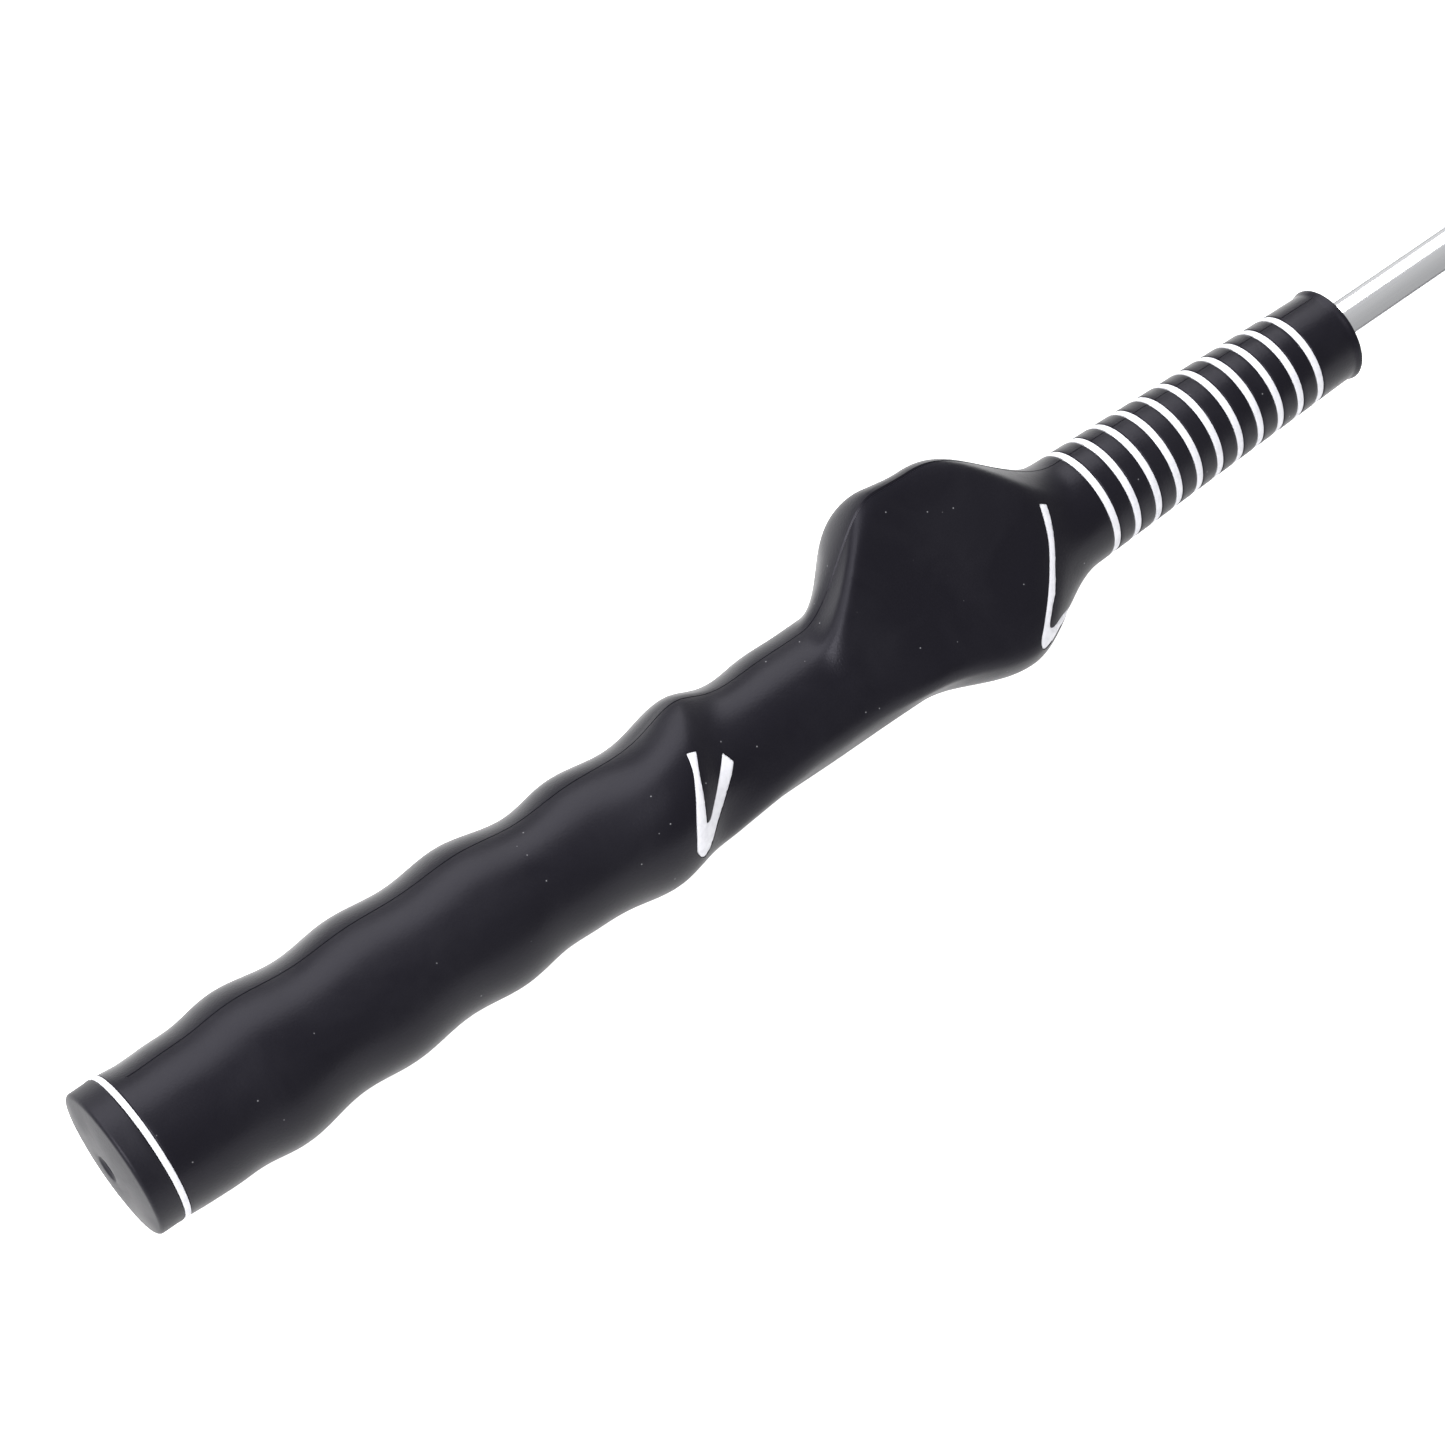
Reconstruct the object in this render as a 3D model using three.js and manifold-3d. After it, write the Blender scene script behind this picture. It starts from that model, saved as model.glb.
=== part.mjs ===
import * as THREE from "three";
import { mergeVertices } from "three/addons/utils/BufferGeometryUtils.js";
import Module from "manifold-3d";

const wasm = await Module();
wasm.setup();

// A swing trainer stick: a moulded hand-placing grip on a chromed steel shaft with a weighted head.
// Millimetres. The stick lies along +X with its butt first, and +Z is up.
// "along" is the distance from the white butt line towards the head.
// "turn" is the angle round the stick in degrees, 0 at +Z and 90 at +Y.

// Overall sizes.
const buttRadius = 14.1;
const handleLength = 204;
const neckRadius = 11.05;
const mouthRadius = 9.15;
const shaftLength = 610;
const shaftRadius = 5;
const shaftWall = 0.9;

// White lines painted into shallow grooves.
const lineDepth = 0.6;
const lineGap = 0.08;
const buttLineWidth = 1.15;
const neckLineWidth = 1.5;
const neckLineCount = 11;
const neckLinePitch = 5.22;
const neckLineLead = 5.3;
const mouthLead = 10.8;
const mouthRounding = 0.5;
const veeDepth = 0.7;
const veeGap = 0.12;

// Fits round the shaft.
const tapeThickness = 0.35;
const tapeGap = 0.1;
const capSpigotLength = 5;
const endGap = 0.5;
const ventRadius = 1.8;

// Butt cap.
const capRimLength = 4;
const capRounding = 0.8;
const capCrown = 1;
const capHalfwayDrop = 0.25;
const capDimpleRadius = 2.75;
const capDimpleDepth = 0.5;

// Weighted head.
const weightLength = 72;
const socketDepth = 52;
const coverWall = 3;
const coverShoulder = 9;
const coverNoseRounding = 2.2;
const weightChamfer = 2;
const headGap = 0.2;
const noseThickness = 6;
const noseStandOut = 1.2;
const noseChamfer = 0.8;
const ferruleLength = 15;
const ferruleLip = 0.8;
const ferruleFlare = 3.2;
const ferruleRim = 2;
const ferruleBend = { lengthShare: 0.45, flareShare: 0.35 };
const pinRadius = 1.5;
const pinGap = 0.1;
const pinFromSocketMouth = 14;
const pinInset = 1;

// Facets.
const sides = 28;
const pinSides = 16;
const handleStep = 4;
const strokeSteps = 9;
const finTurn = 26;

// The handle is drawn at these sizes and stretched to handleLength and buttRadius.
const drawnLength = 204;
const drawnButtRadius = 14.1;
const lengthScale = handleLength / drawnLength;
const girthScale = buttRadius / drawnButtRadius;

// Radius of the plain handle, and how far it leans towards leanTurn: [along, millimetres].
const leanTurn = -116;
const coreOutline = [
  [-8, 14.1], [0, 14.1], [5, 14.05], [12, 14.3], [24, 14.7], [38, 14.05], [50, 13.9], [70, 13.8],
  [84, 13], [95, 12.9], [130, 12.3], [150, 12.3], [175, 12], [190, 11.5], [204, 11.05],
];
const leanOutline = [
  [-8, 0], [0, 0.05], [5, 0.4], [24, 0.35], [60, 0.27], [71, 0.4], [84, 0.85], [95, 0.8],
  [120, 0.6], [140, 0.95], [150, 0.9], [172, 0.4], [190, 0], [204, 0],
];

// Shaped features of the handle: where they are, how far they stand out and how wide they spread.
// Each begins at "start", is whole from "full" to "fall", and is gone at "end".
const frontTurn = -26;
const lowerWaves = { start: 8, full: 20, fall: 76, end: 90, frontSpread: 55 };
const upperWaves = { start: 76, full: 90, fall: 128, end: 146, turn: 95, spread: 75, power: 4, gain: 1.2 };
const wave = { height: 0.55, pitch: 23.4, firstCrest: 24.5 };
const ridge = {
  height: 2.3, headSide: 0.78, fadeTurn: 20, fadeSpread: 40, furthest: 120,
  low: { turn: -116, along: 104.3, spread: 8 },
  high: { turn: 26, along: 119.5, spread: 6.5 },
};
const ridgeFront = { turn: -34, spread: 46, shift: 1.5, broader: 0.6, taller: 0.3 };
const keel = {
  height: 1.3, spread: 18, start: 106, full: 118, fall: 142, end: 158,
  low: { turn: -98, along: 112 },
  high: { turn: -75, along: 138 },
};
const fin = {
  height: 17, shoulder: 177.5, end: 206.9, dip: 0.045, dipSpread: 7,
  front: { start: 147, full: 169.5, spread: 90, power: 3 },
  back: { start: 151, full: 166.5, spread: 58, from: 5, to: 40 },
  lead: { start: 3, full: 5, from: 0, to: 36 },
  narrowing: { spread: 28, start: 159, end: 176 },
};
const lobe = { height: 7.2, turn: -125, start: 160, crest: 184, end: 206, front: 52, back: 95, power: 4 };
const thumbFlat = { turn: -38.6, distance: 12.8, rounding: 3, start: 138, full: 152, fall: 203, end: 208 };
const restFlat = { turn: 180, distance: 17.5, rounding: 0.8, start: 160, full: 172, fall: 203, end: 206 };
const neckPull = { length: 5, turn: -50, spread: 38 };

// Centre lines of the strokes of the two V marks: [along, turn].
const lowerVee = {
  width: 1.9,
  left: [[114.9, -15.7], [112.7, -33], [110.6, -55], [108.9, -80]],
  right: [[120.7, -33.6], [117, -48.6], [113.5, -63.5], [108.9, -80]],
};
const upperVee = {
  width: 1.35,
  left: [[197.4, -10.7], [196.4, -31.6], [194.2, -50], [190.9, -70], [185.2, -90]],
  right: [[200, -121.8], [193.5, -102], [189.8, -95], [185.2, -90]],
};

const rubber = new THREE.MeshStandardMaterial({ color: 0x17181b, roughness: 0.62 });
const capRubber = new THREE.MeshStandardMaterial({ color: 0x1d1e21, roughness: 0.68 });
const whitePaint = new THREE.MeshStandardMaterial({ color: 0xf0f0f4, roughness: 0.5 });
const tapePaper = new THREE.MeshStandardMaterial({ color: 0xc9bf9f, roughness: 0.9 });
const chrome = new THREE.MeshStandardMaterial({ color: 0xd5d7da, roughness: 0.12, metalness: 1 });
const steel = new THREE.MeshStandardMaterial({ color: 0x8c8f93, roughness: 0.35, metalness: 1 });
const plastic = new THREE.MeshStandardMaterial({ color: 0x101012, roughness: 0.3 });

// Rises smoothly from 0 at "from" to 1 at "to".
function smooth(from, to, value) {
  const share = THREE.MathUtils.clamp((value - from) / (to - from), 0, 1);
  return share * share * (3 - 2 * share);
}

// A bump of height 1 at 0; a power of 2 is a bell and 4 has a flatter top.
function bump(distance, spread, power = 2) {
  return Math.exp(-(Math.abs(distance / spread) ** power));
}

// The angle from "centre" to "turn", between -180 and 180 degrees.
function turnFrom(centre, turn) {
  return THREE.MathUtils.euclideanModulo(turn - centre + 180, 360) - 180;
}

// The smaller of two values, with the corner between them rounded.
function softMin(a, b, rounding) {
  const share = THREE.MathUtils.clamp(0.5 + (0.5 * (b - a)) / rounding, 0, 1);
  return THREE.MathUtils.lerp(b, a, share) - rounding * share * (1 - share);
}

// Height of a smooth curve through points of an outline.
function outlineAt(points, along) {
  const last = points.length - 1;
  const value = THREE.MathUtils.clamp(along, points[0][0], points[last][0]);
  let i = 0;
  while (i < last - 1 && value > points[i + 1][0]) i += 1;
  const slope = (k) => {
    const before = points[Math.max(k - 1, 0)];
    const after = points[Math.min(k + 1, last)];
    return (after[1] - before[1]) / (after[0] - before[0]);
  };
  const run = points[i + 1][0] - points[i][0];
  const t = (value - points[i][0]) / run;
  const ends = (2 * t ** 3 - 3 * t ** 2 + 1) * points[i][1] + (3 * t ** 2 - 2 * t ** 3) * points[i + 1][1];
  const slopes = (t ** 3 - 2 * t ** 2 + t) * slope(i) + (t ** 3 - t ** 2) * slope(i + 1);
  return ends + slopes * run;
}

// The share of a feature that is on at x, between 0 and 1.
function shareOn(feature, x) {
  return smooth(feature.start, feature.full, x) * (1 - smooth(feature.fall, feature.end, x));
}

// Finger waves run round the back of the handle and fade towards the front.
function waveHeight(x, turn) {
  const besideFront = 1 - bump(turnFrom(frontTurn, turn), lowerWaves.frontSpread);
  const behind = bump(turnFrom(upperWaves.turn, turn), upperWaves.spread, upperWaves.power);
  const lower = shareOn(lowerWaves, x) * besideFront;
  const upper = shareOn(upperWaves, x) * behind * upperWaves.gain;
  const phase = (2 * Math.PI * (x - wave.firstCrest)) / wave.pitch;
  return wave.height * Math.cos(phase) * (lower + upper);
}

// A ridge that crosses the front of the handle on a slant, under the lower V mark.
function ridgeHeight(x, turn) {
  const { low, high } = ridge;
  const share = (turnFrom(0, turn) - low.turn) / (high.turn - low.turn);
  const front = bump(turnFrom(ridgeFront.turn, turn), ridgeFront.spread);
  const slant = THREE.MathUtils.lerp(low.along, high.along, share);
  const crest = Math.min(slant, ridge.furthest) - ridgeFront.shift * front;
  const spread = THREE.MathUtils.lerp(low.spread, high.spread, THREE.MathUtils.clamp(share, 0, 1));
  const side = x > crest ? ridge.headSide : 1 + ridgeFront.broader * front;
  const past = Math.max(turnFrom(ridge.fadeTurn, turn), 0);
  const below = Math.max(-turnFrom(low.turn, turn), 0);
  const across = bump(past, ridge.fadeSpread) * bump(below, ridge.fadeSpread);
  const height = ridge.height * (1 + ridgeFront.taller * front);
  return height * across * bump(x - crest, spread * side);
}

// A soft edge along the lower front of the waist.
function keelHeight(x, turn) {
  const { low, high } = keel;
  const edge = THREE.MathUtils.lerp(low.turn, high.turn, smooth(low.along, high.along, x));
  return keel.height * shareOn(keel, x) * bump(turnFrom(edge, turn), keel.spread);
}

// The fin that fills the upper palm, highest along finTurn.
function finHeight(x, turn, pull) {
  const { front, back, lead, narrowing } = fin;
  const from = turnFrom(finTurn, turn);
  const behind = smooth(back.from, back.to, from);
  const ahead = smooth(lead.from, lead.to, -from);
  const start = THREE.MathUtils.lerp(front.start, back.start, behind) - lead.start * ahead;
  const full = THREE.MathUtils.lerp(front.full, back.full, behind) - lead.full * ahead;
  const rise = smooth(start, full, x);
  const fall = 1 - smooth(fin.shoulder - pull, fin.end - pull, x);
  const dip = 1 - fin.dip * bump(x - fin.shoulder, fin.dipSpread);
  const backSpread = back.spread - narrowing.spread * smooth(narrowing.start, narrowing.end, x);
  const round = from > 0 ? bump(from, backSpread) : bump(from, front.spread, front.power);
  return fin.height * rise * fall * dip * round;
}

// The lobe under the upper hand's fingers.
function lobeHeight(x, turn, pull) {
  const from = turnFrom(lobe.turn, turn);
  const length = smooth(lobe.start, lobe.crest, x) * (1 - smooth(lobe.crest - pull, lobe.end - pull, x));
  return lobe.height * length * bump(from, from > 0 ? lobe.front : lobe.back, lobe.power);
}

// Radius after a flat is cut across the handle.
function cutByFlat(radius, x, turn, flat) {
  const leastFacing = 0.05;
  const facing = Math.cos(THREE.MathUtils.degToRad(turnFrom(flat.turn, turn)));
  const plane = flat.distance / Math.max(facing, leastFacing);
  return THREE.MathUtils.lerp(radius, softMin(radius, plane, flat.rounding), shareOn(flat, x));
}

// Radius of the shaped handle, from the butt line to the neck.
function handleRadius(along, turn) {
  const x = along / lengthScale;
  const lean = Math.cos(THREE.MathUtils.degToRad(turn - leanTurn));
  const pull = neckPull.length * bump(turnFrom(neckPull.turn, turn), neckPull.spread);
  const core = outlineAt(coreOutline, x) + outlineAt(leanOutline, x) * lean;
  const shaped = core + waveHeight(x, turn) + ridgeHeight(x, turn) + keelHeight(x, turn);
  const full = shaped + finHeight(x, turn, pull) + lobeHeight(x, turn, pull);
  return girthScale * cutByFlat(cutByFlat(full, x, turn, thumbFlat), x, turn, restFlat);
}

// Places along the stick.
const buttLineEnd = buttLineWidth / 2;
const collarStart = -buttLineEnd - lineGap;
const capFace = collarStart - lineGap;
const firstNeckLine = handleLength + neckLineLead;
const lastNeckLine = firstNeckLine + (neckLineCount - 1) * neckLinePitch;
const mouth = lastNeckLine + mouthLead;
const shaftStart = capSpigotLength + endGap;
const shaftEnd = shaftStart + shaftLength;
const weightStart = shaftEnd + endGap - socketDepth;
const weightEnd = weightStart + weightLength;
const coverStart = weightStart - headGap - coverWall;
const noseStart = weightEnd + headGap;
const noseFace = noseStart + noseThickness;
const coverEnd = noseFace - noseStandOut;
const ferruleEnd = coverStart - headGap;

// Radii round the shaft and the head. The head is as wide as the underside of the handle is deep,
// so that the stick lies level.
const headRadius = restFlat.distance * girthScale;
const tapeInnerRadius = shaftRadius + tapeGap;
const tapeOuterRadius = tapeInnerRadius + tapeThickness;
const boreRadius = tapeOuterRadius + tapeGap;
const socketRadius = shaftRadius + tapeGap;
const coverBoreRadius = headRadius - coverWall;
const weightRadius = coverBoreRadius - headGap;

// Radius of the straight neck, which the handle meets at its upper end.
function neckRadiusAt(along) {
  const share = (along - handleLength) / (mouth - handleLength);
  return THREE.MathUtils.lerp(neckRadius * girthScale, mouthRadius, share);
}

// A ring of points round the stick; radiusAt gives the radius for a turn.
function ringAt(along, radiusAt) {
  const ring = [];
  for (let i = 0; i < sides; i += 1) {
    const turn = finTurn + (360 * i) / sides;
    const angle = THREE.MathUtils.degToRad(turn);
    const radius = radiusAt(turn);
    ring.push([along, radius * Math.sin(angle), radius * Math.cos(angle)]);
  }
  return ring;
}

// A closed tube through rings of points: each ring joins the next, and the last joins the first.
function tubeThrough(rings) {
  const index = [];
  rings.forEach((ring, j) => {
    const next = ((j + 1) % rings.length) * sides;
    for (let i = 0; i < sides; i += 1) {
      const a = j * sides + i;
      const b = j * sides + ((i + 1) % sides);
      const c = next + ((i + 1) % sides);
      const d = next + i;
      index.push(a, d, c, a, c, b);
    }
  });
  const geometry = new THREE.BufferGeometry();
  geometry.setAttribute("position", new THREE.Float32BufferAttribute(rings.flat(2), 3));
  geometry.setIndex(index);
  return geometry;
}

// A turned piece about the stick's axis, from points [along, radius] of a profile.
function turned(profile) {
  const points = profile.map(([along, radius]) => new THREE.Vector2(radius, along));
  return new THREE.LatheGeometry(points, sides).rotateZ(-Math.PI / 2);
}

// Points of a quarter circle in a profile, from one corner of its square to the other.
function quarterArc(centreAlong, centreRadius, size, fromDegrees, steps = 4) {
  const points = [];
  for (let i = 0; i <= steps; i += 1) {
    const angle = THREE.MathUtils.degToRad(fromDegrees - (90 * i) / steps);
    points.push([centreAlong + size * Math.cos(angle), centreRadius + size * Math.sin(angle)]);
  }
  return points;
}

function solidOf(geometry) {
  const bare = geometry.clone();
  bare.deleteAttribute("normal");
  bare.deleteAttribute("uv");
  const merged = mergeVertices(bare, 1e-4);
  return new wasm.Manifold(
    new wasm.Mesh({
      numProp: 3,
      vertProperties: merged.attributes.position.array,
      triVerts: new Uint32Array(merged.index.array),
    }),
  );
}

function geometryOf(solid) {
  const mesh = solid.getMesh();
  const geometry = new THREE.BufferGeometry();
  geometry.setAttribute("position", new THREE.BufferAttribute(mesh.vertProperties, 3));
  geometry.setIndex(new THREE.BufferAttribute(mesh.triVerts, 1));
  return geometry;
}

const stick = new THREE.Group();

function addPiece(name, geometry, material) {
  const mesh = new THREE.Mesh(geometry, material);
  mesh.name = name;
  stick.add(mesh);
}

// Distances along the stick of the white neck lines.
const neckLines = Array.from({ length: neckLineCount }, (_, i) => firstNeckLine + i * neckLinePitch);

// The grip's outside, with the neck's grooves and a bore for the taped shaft.
function gripTube() {
  const plain = (radius) => () => radius;
  const rings = [];
  const bodyStart = buttLineEnd + lineGap;
  const collar = (turn) => handleRadius(0, turn) - lineDepth;
  rings.push(ringAt(collarStart, collar));
  rings.push(ringAt(bodyStart, collar));
  const steps = Math.round((handleLength - bodyStart) / (handleStep * lengthScale));
  for (let i = 0; i < steps; i += 1) {
    const along = THREE.MathUtils.lerp(bodyStart, handleLength, i / steps);
    rings.push(ringAt(along, (turn) => handleRadius(along, turn)));
  }
  rings.push(ringAt(handleLength, plain(neckRadiusAt(handleLength))));
  const grooveHalf = neckLineWidth / 2 + lineGap;
  for (const line of neckLines) {
    const before = line - grooveHalf;
    const after = line + grooveHalf;
    rings.push(ringAt(before, plain(neckRadiusAt(before))));
    rings.push(ringAt(before, plain(neckRadiusAt(before) - lineDepth)));
    rings.push(ringAt(after, plain(neckRadiusAt(after) - lineDepth)));
    rings.push(ringAt(after, plain(neckRadiusAt(after))));
  }
  rings.push(ringAt(mouth - mouthRounding, plain(mouthRadius)));
  rings.push(ringAt(mouth, plain(mouthRadius - mouthRounding)));
  rings.push(ringAt(mouth, plain(boreRadius)));
  rings.push(ringAt(collarStart, plain(boreRadius)));
  return tubeThrough(rings);
}

// A point on the handle's surface.
function surfacePoint(along, turn) {
  const radius = handleRadius(along, turn);
  const angle = THREE.MathUtils.degToRad(turn);
  return new THREE.Vector3(along, radius * Math.sin(angle), radius * Math.cos(angle));
}

// The handle's outward direction at a point of its surface.
function surfaceNormal(along, turn) {
  const reach = 1.5;
  const sweep = 4;
  const ahead = surfacePoint(along + reach, turn).sub(surfacePoint(along - reach, turn));
  const round = surfacePoint(along, turn + sweep).sub(surfacePoint(along, turn - sweep));
  return ahead.cross(round).normalize();
}

// One stroke of a V mark: a bar that follows the surface, from "below" under it to "above" over it.
function stroke(line, width, below, above) {
  const scaled = line.map(([along, turn]) => new THREE.Vector3(along * lengthScale, turn, 0));
  const curve = new THREE.CatmullRomCurve3(scaled);
  const samples = curve.getPoints(strokeSteps);
  const centres = samples.map((p) => surfacePoint(p.x, p.y));
  const positions = [];
  samples.forEach((p, i) => {
    const before = centres[Math.max(i - 1, 0)];
    const after = centres[Math.min(i + 1, centres.length - 1)];
    const ahead = after.clone().sub(before).normalize();
    const out = surfaceNormal(p.x, p.y);
    const side = out.clone().cross(ahead).setLength(width / 2);
    const up = side.clone().cross(ahead).normalize().multiplyScalar(-1);
    for (const [across, height] of [[-1, -below], [1, -below], [1, above], [-1, above]]) {
      const corner = centres[i].clone().addScaledVector(side, across).addScaledVector(up, height);
      positions.push(corner.x, corner.y, corner.z);
    }
  });
  const index = [0, 2, 1, 0, 3, 2];
  const last = 4 * (samples.length - 1);
  index.push(last, last + 1, last + 2, last, last + 2, last + 3);
  for (let i = 0; i < last; i += 4) {
    for (let k = 0; k < 4; k += 1) {
      const next = (k + 1) % 4;
      index.push(i + k, i + next, i + 4 + next, i + k, i + 4 + next, i + 4 + k);
    }
  }
  const geometry = new THREE.BufferGeometry();
  geometry.setAttribute("position", new THREE.Float32BufferAttribute(positions, 3));
  geometry.setIndex(index);
  return solidOf(geometry);
}

function veeBars(vee, width, below) {
  const above = 1.5;
  const left = stroke(vee.left, width, below, above);
  return left.add(stroke(vee.right, width, below, above));
}

// The grip with its V grooves, and the two painted V marks that fill them.
function addGripAndVees() {
  const blank = solidOf(gripTube());
  let grip = blank;
  for (const [name, vee] of [["lower_vee_mark", lowerVee], ["upper_vee_mark", upperVee]]) {
    const mark = veeBars(vee, vee.width, veeDepth - veeGap).intersect(blank);
    grip = grip.subtract(veeBars(vee, vee.width + 2 * veeGap, veeDepth));
    addPiece(name, geometryOf(mark), whitePaint);
  }
  addPiece("grip_body", geometryOf(grip), rubber);
}

// A painted line round the stick that fills its groove.
function paintedLine(centre, width, radiusAt) {
  const start = centre - width / 2;
  const end = centre + width / 2;
  const floor = lineDepth - lineGap;
  return tubeThrough([
    ringAt(start, (turn) => radiusAt(start, turn)),
    ringAt(end, (turn) => radiusAt(end, turn)),
    ringAt(end, (turn) => radiusAt(end, turn) - floor),
    ringAt(start, (turn) => radiusAt(start, turn) - floor),
  ]);
}

function addLines() {
  addPiece("butt_line", paintedLine(0, buttLineWidth, (_, turn) => handleRadius(0, turn)), whitePaint);
  neckLines.forEach((centre, i) => {
    const name = "neck_line_" + String(i + 1).padStart(2, "0");
    addPiece(name, paintedLine(centre, neckLineWidth, neckRadiusAt), whitePaint);
  });
}

// The cap closes the butt: a crowned disc with a vent, and a spigot in the grip's bore.
function addCap() {
  const spigotRadius = boreRadius - tapeGap;
  const rimEnd = capFace - capRimLength;
  const crown = rimEnd - capRounding - capCrown;
  const rim = quarterArc(rimEnd, buttRadius - capRounding, capRounding, 180);
  const profile = [
    [capSpigotLength, ventRadius],
    [crown + capDimpleDepth, ventRadius],
    [crown, capDimpleRadius],
    [crown + capHalfwayDrop, buttRadius / 2],
    ...rim,
    [capFace, buttRadius],
    [capFace, spigotRadius],
    [capSpigotLength, spigotRadius],
    [capSpigotLength, ventRadius],
  ];
  addPiece("butt_cap", turned(profile), capRubber);
}

function tubeProfile(start, end, inner, outer) {
  return [[start, inner], [start, outer], [end, outer], [end, inner], [start, inner]];
}

function addTape() {
  const profile = tubeProfile(shaftStart, mouth - endGap, tapeInnerRadius, tapeOuterRadius);
  addPiece("grip_tape", turned(profile), tapePaper);
}

// A round bar across the stick, for the pin and the holes that it passes through.
function crossBar(radius, length) {
  const along = weightStart + pinFromSocketMouth;
  return new THREE.CylinderGeometry(radius, radius, length, pinSides).translate(along, 0, 0);
}

function addShaft() {
  const tube = solidOf(turned(tubeProfile(shaftStart, shaftEnd, shaftRadius - shaftWall, shaftRadius)));
  const hole = solidOf(crossBar(pinRadius + pinGap, 4 * shaftRadius));
  addPiece("shaft", geometryOf(tube.subtract(hole)), chrome);
}

function addFerrule() {
  const bore = shaftRadius + tapeGap;
  const start = ferruleEnd - ferruleLength;
  const bendAlong = start + ferruleLength * ferruleBend.lengthShare;
  const profile = [
    [start, bore],
    [start, bore + ferruleLip],
    [bendAlong, bore + ferruleLip + ferruleFlare * ferruleBend.flareShare],
    [ferruleEnd - ferruleRim, bore + ferruleFlare],
    [ferruleEnd, bore + ferruleFlare],
    [ferruleEnd, bore],
    [start, bore],
  ];
  addPiece("ferrule", turned(profile), plastic);
}

// The steel weight, with a blind socket for the shaft and a cross hole for the pin.
function addWeight() {
  const socketEnd = weightStart + socketDepth;
  const shoulderStart = weightStart + coverShoulder - coverWall;
  const profile = [
    [weightStart, socketRadius],
    [weightStart, weightRadius - (coverShoulder - coverWall)],
    [shoulderStart, weightRadius],
    [weightEnd - weightChamfer, weightRadius],
    [weightEnd, weightRadius - weightChamfer],
    [weightEnd, 0],
    [socketEnd, 0],
    [socketEnd, socketRadius],
    [weightStart, socketRadius],
  ];
  const body = solidOf(turned(profile));
  const hole = solidOf(crossBar(pinRadius + pinGap, 3 * weightRadius));
  addPiece("head_weight", geometryOf(body.subtract(hole)), steel);
  addPiece("head_pin", crossBar(pinRadius, 2 * (weightRadius - pinInset)), steel);
}

// The rubber cover: a sleeve with a rounded shoulder at the shaft and an open nose.
function addCover() {
  const holeRadius = shaftRadius + headGap;
  const innerShoulder = coverShoulder - coverWall;
  const innerStart = coverStart + coverWall;
  const shoulderSteps = 6;
  const shoulderStart = coverStart + coverShoulder;
  const shoulderRadius = headRadius - coverShoulder;
  const shoulder = quarterArc(shoulderStart, shoulderRadius, coverShoulder, 180, shoulderSteps);
  const noseRadius = headRadius - coverNoseRounding;
  const nose = quarterArc(coverEnd - coverNoseRounding, noseRadius, coverNoseRounding, 90);
  const profile = [
    [coverStart, holeRadius],
    ...shoulder,
    ...nose,
    [coverEnd, coverBoreRadius],
    [innerStart + innerShoulder, coverBoreRadius],
    [innerStart, coverBoreRadius - innerShoulder],
    [innerStart, holeRadius],
    [coverStart, holeRadius],
  ];
  addPiece("head_cover", turned(profile), rubber);
}

// The nose plug closes the cover with a flat face.
function addNose() {
  const profile = [
    [noseStart, 0],
    [noseStart, weightRadius],
    [noseFace - noseChamfer, weightRadius],
    [noseFace, weightRadius - noseChamfer],
    [noseFace, 0],
  ];
  addPiece("head_nose", turned(profile), plastic);
}

addGripAndVees();
addLines();
addCap();
addTape();
addShaft();
addFerrule();
addWeight();
addCover();
addNose();

// The origin is under the middle of the stick, on the surface that it lies on.
const box = new THREE.Box3().setFromObject(stick);
const middle = box.getCenter(new THREE.Vector3());
stick.position.set(-middle.x, -middle.y, -box.min.z);

export default stick;
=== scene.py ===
# %% [markdown]
# # A swing trainer stick
#
# The stick is a black rubber grip that puts a golfer's hands in place, on a slim chromed steel
# shaft with a weighted rubber head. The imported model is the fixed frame: it says where every piece
# is, and this lesson builds the surfaces that are seen around it. All lengths below are in
# millimetres, measured from the white butt line towards the head, and they become metres when a
# mesh is made.

# %% Load the frame
import math
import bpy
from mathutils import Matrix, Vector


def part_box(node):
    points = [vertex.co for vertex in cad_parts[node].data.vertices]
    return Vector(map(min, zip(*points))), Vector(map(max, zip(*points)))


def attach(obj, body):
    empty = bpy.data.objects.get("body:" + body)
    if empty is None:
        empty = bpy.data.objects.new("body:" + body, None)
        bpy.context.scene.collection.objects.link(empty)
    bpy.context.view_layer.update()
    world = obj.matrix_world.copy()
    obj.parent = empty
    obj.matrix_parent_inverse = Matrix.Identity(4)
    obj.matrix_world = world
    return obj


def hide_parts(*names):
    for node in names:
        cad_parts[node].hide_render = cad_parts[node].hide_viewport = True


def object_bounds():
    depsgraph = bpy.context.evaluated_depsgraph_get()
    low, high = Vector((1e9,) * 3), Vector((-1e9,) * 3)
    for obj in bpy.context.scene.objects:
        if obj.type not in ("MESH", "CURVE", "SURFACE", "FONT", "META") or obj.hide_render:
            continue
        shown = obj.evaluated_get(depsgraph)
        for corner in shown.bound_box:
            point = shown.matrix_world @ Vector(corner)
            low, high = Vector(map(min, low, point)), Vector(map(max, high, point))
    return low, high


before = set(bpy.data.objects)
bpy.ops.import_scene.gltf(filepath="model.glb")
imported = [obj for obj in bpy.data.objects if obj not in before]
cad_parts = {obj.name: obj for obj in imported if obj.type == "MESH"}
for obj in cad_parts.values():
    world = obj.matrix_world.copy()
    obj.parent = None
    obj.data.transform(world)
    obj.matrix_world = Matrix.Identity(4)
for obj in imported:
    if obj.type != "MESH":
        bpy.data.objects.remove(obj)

from types import SimpleNamespace

import bmesh
import bpy
import numpy as np
from mathutils import Vector

cad_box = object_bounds()
print("CAD box", [[round(c, 4) for c in corner] for corner in cad_box])

# %% Places read from the frame
MM = 0.001


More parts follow.
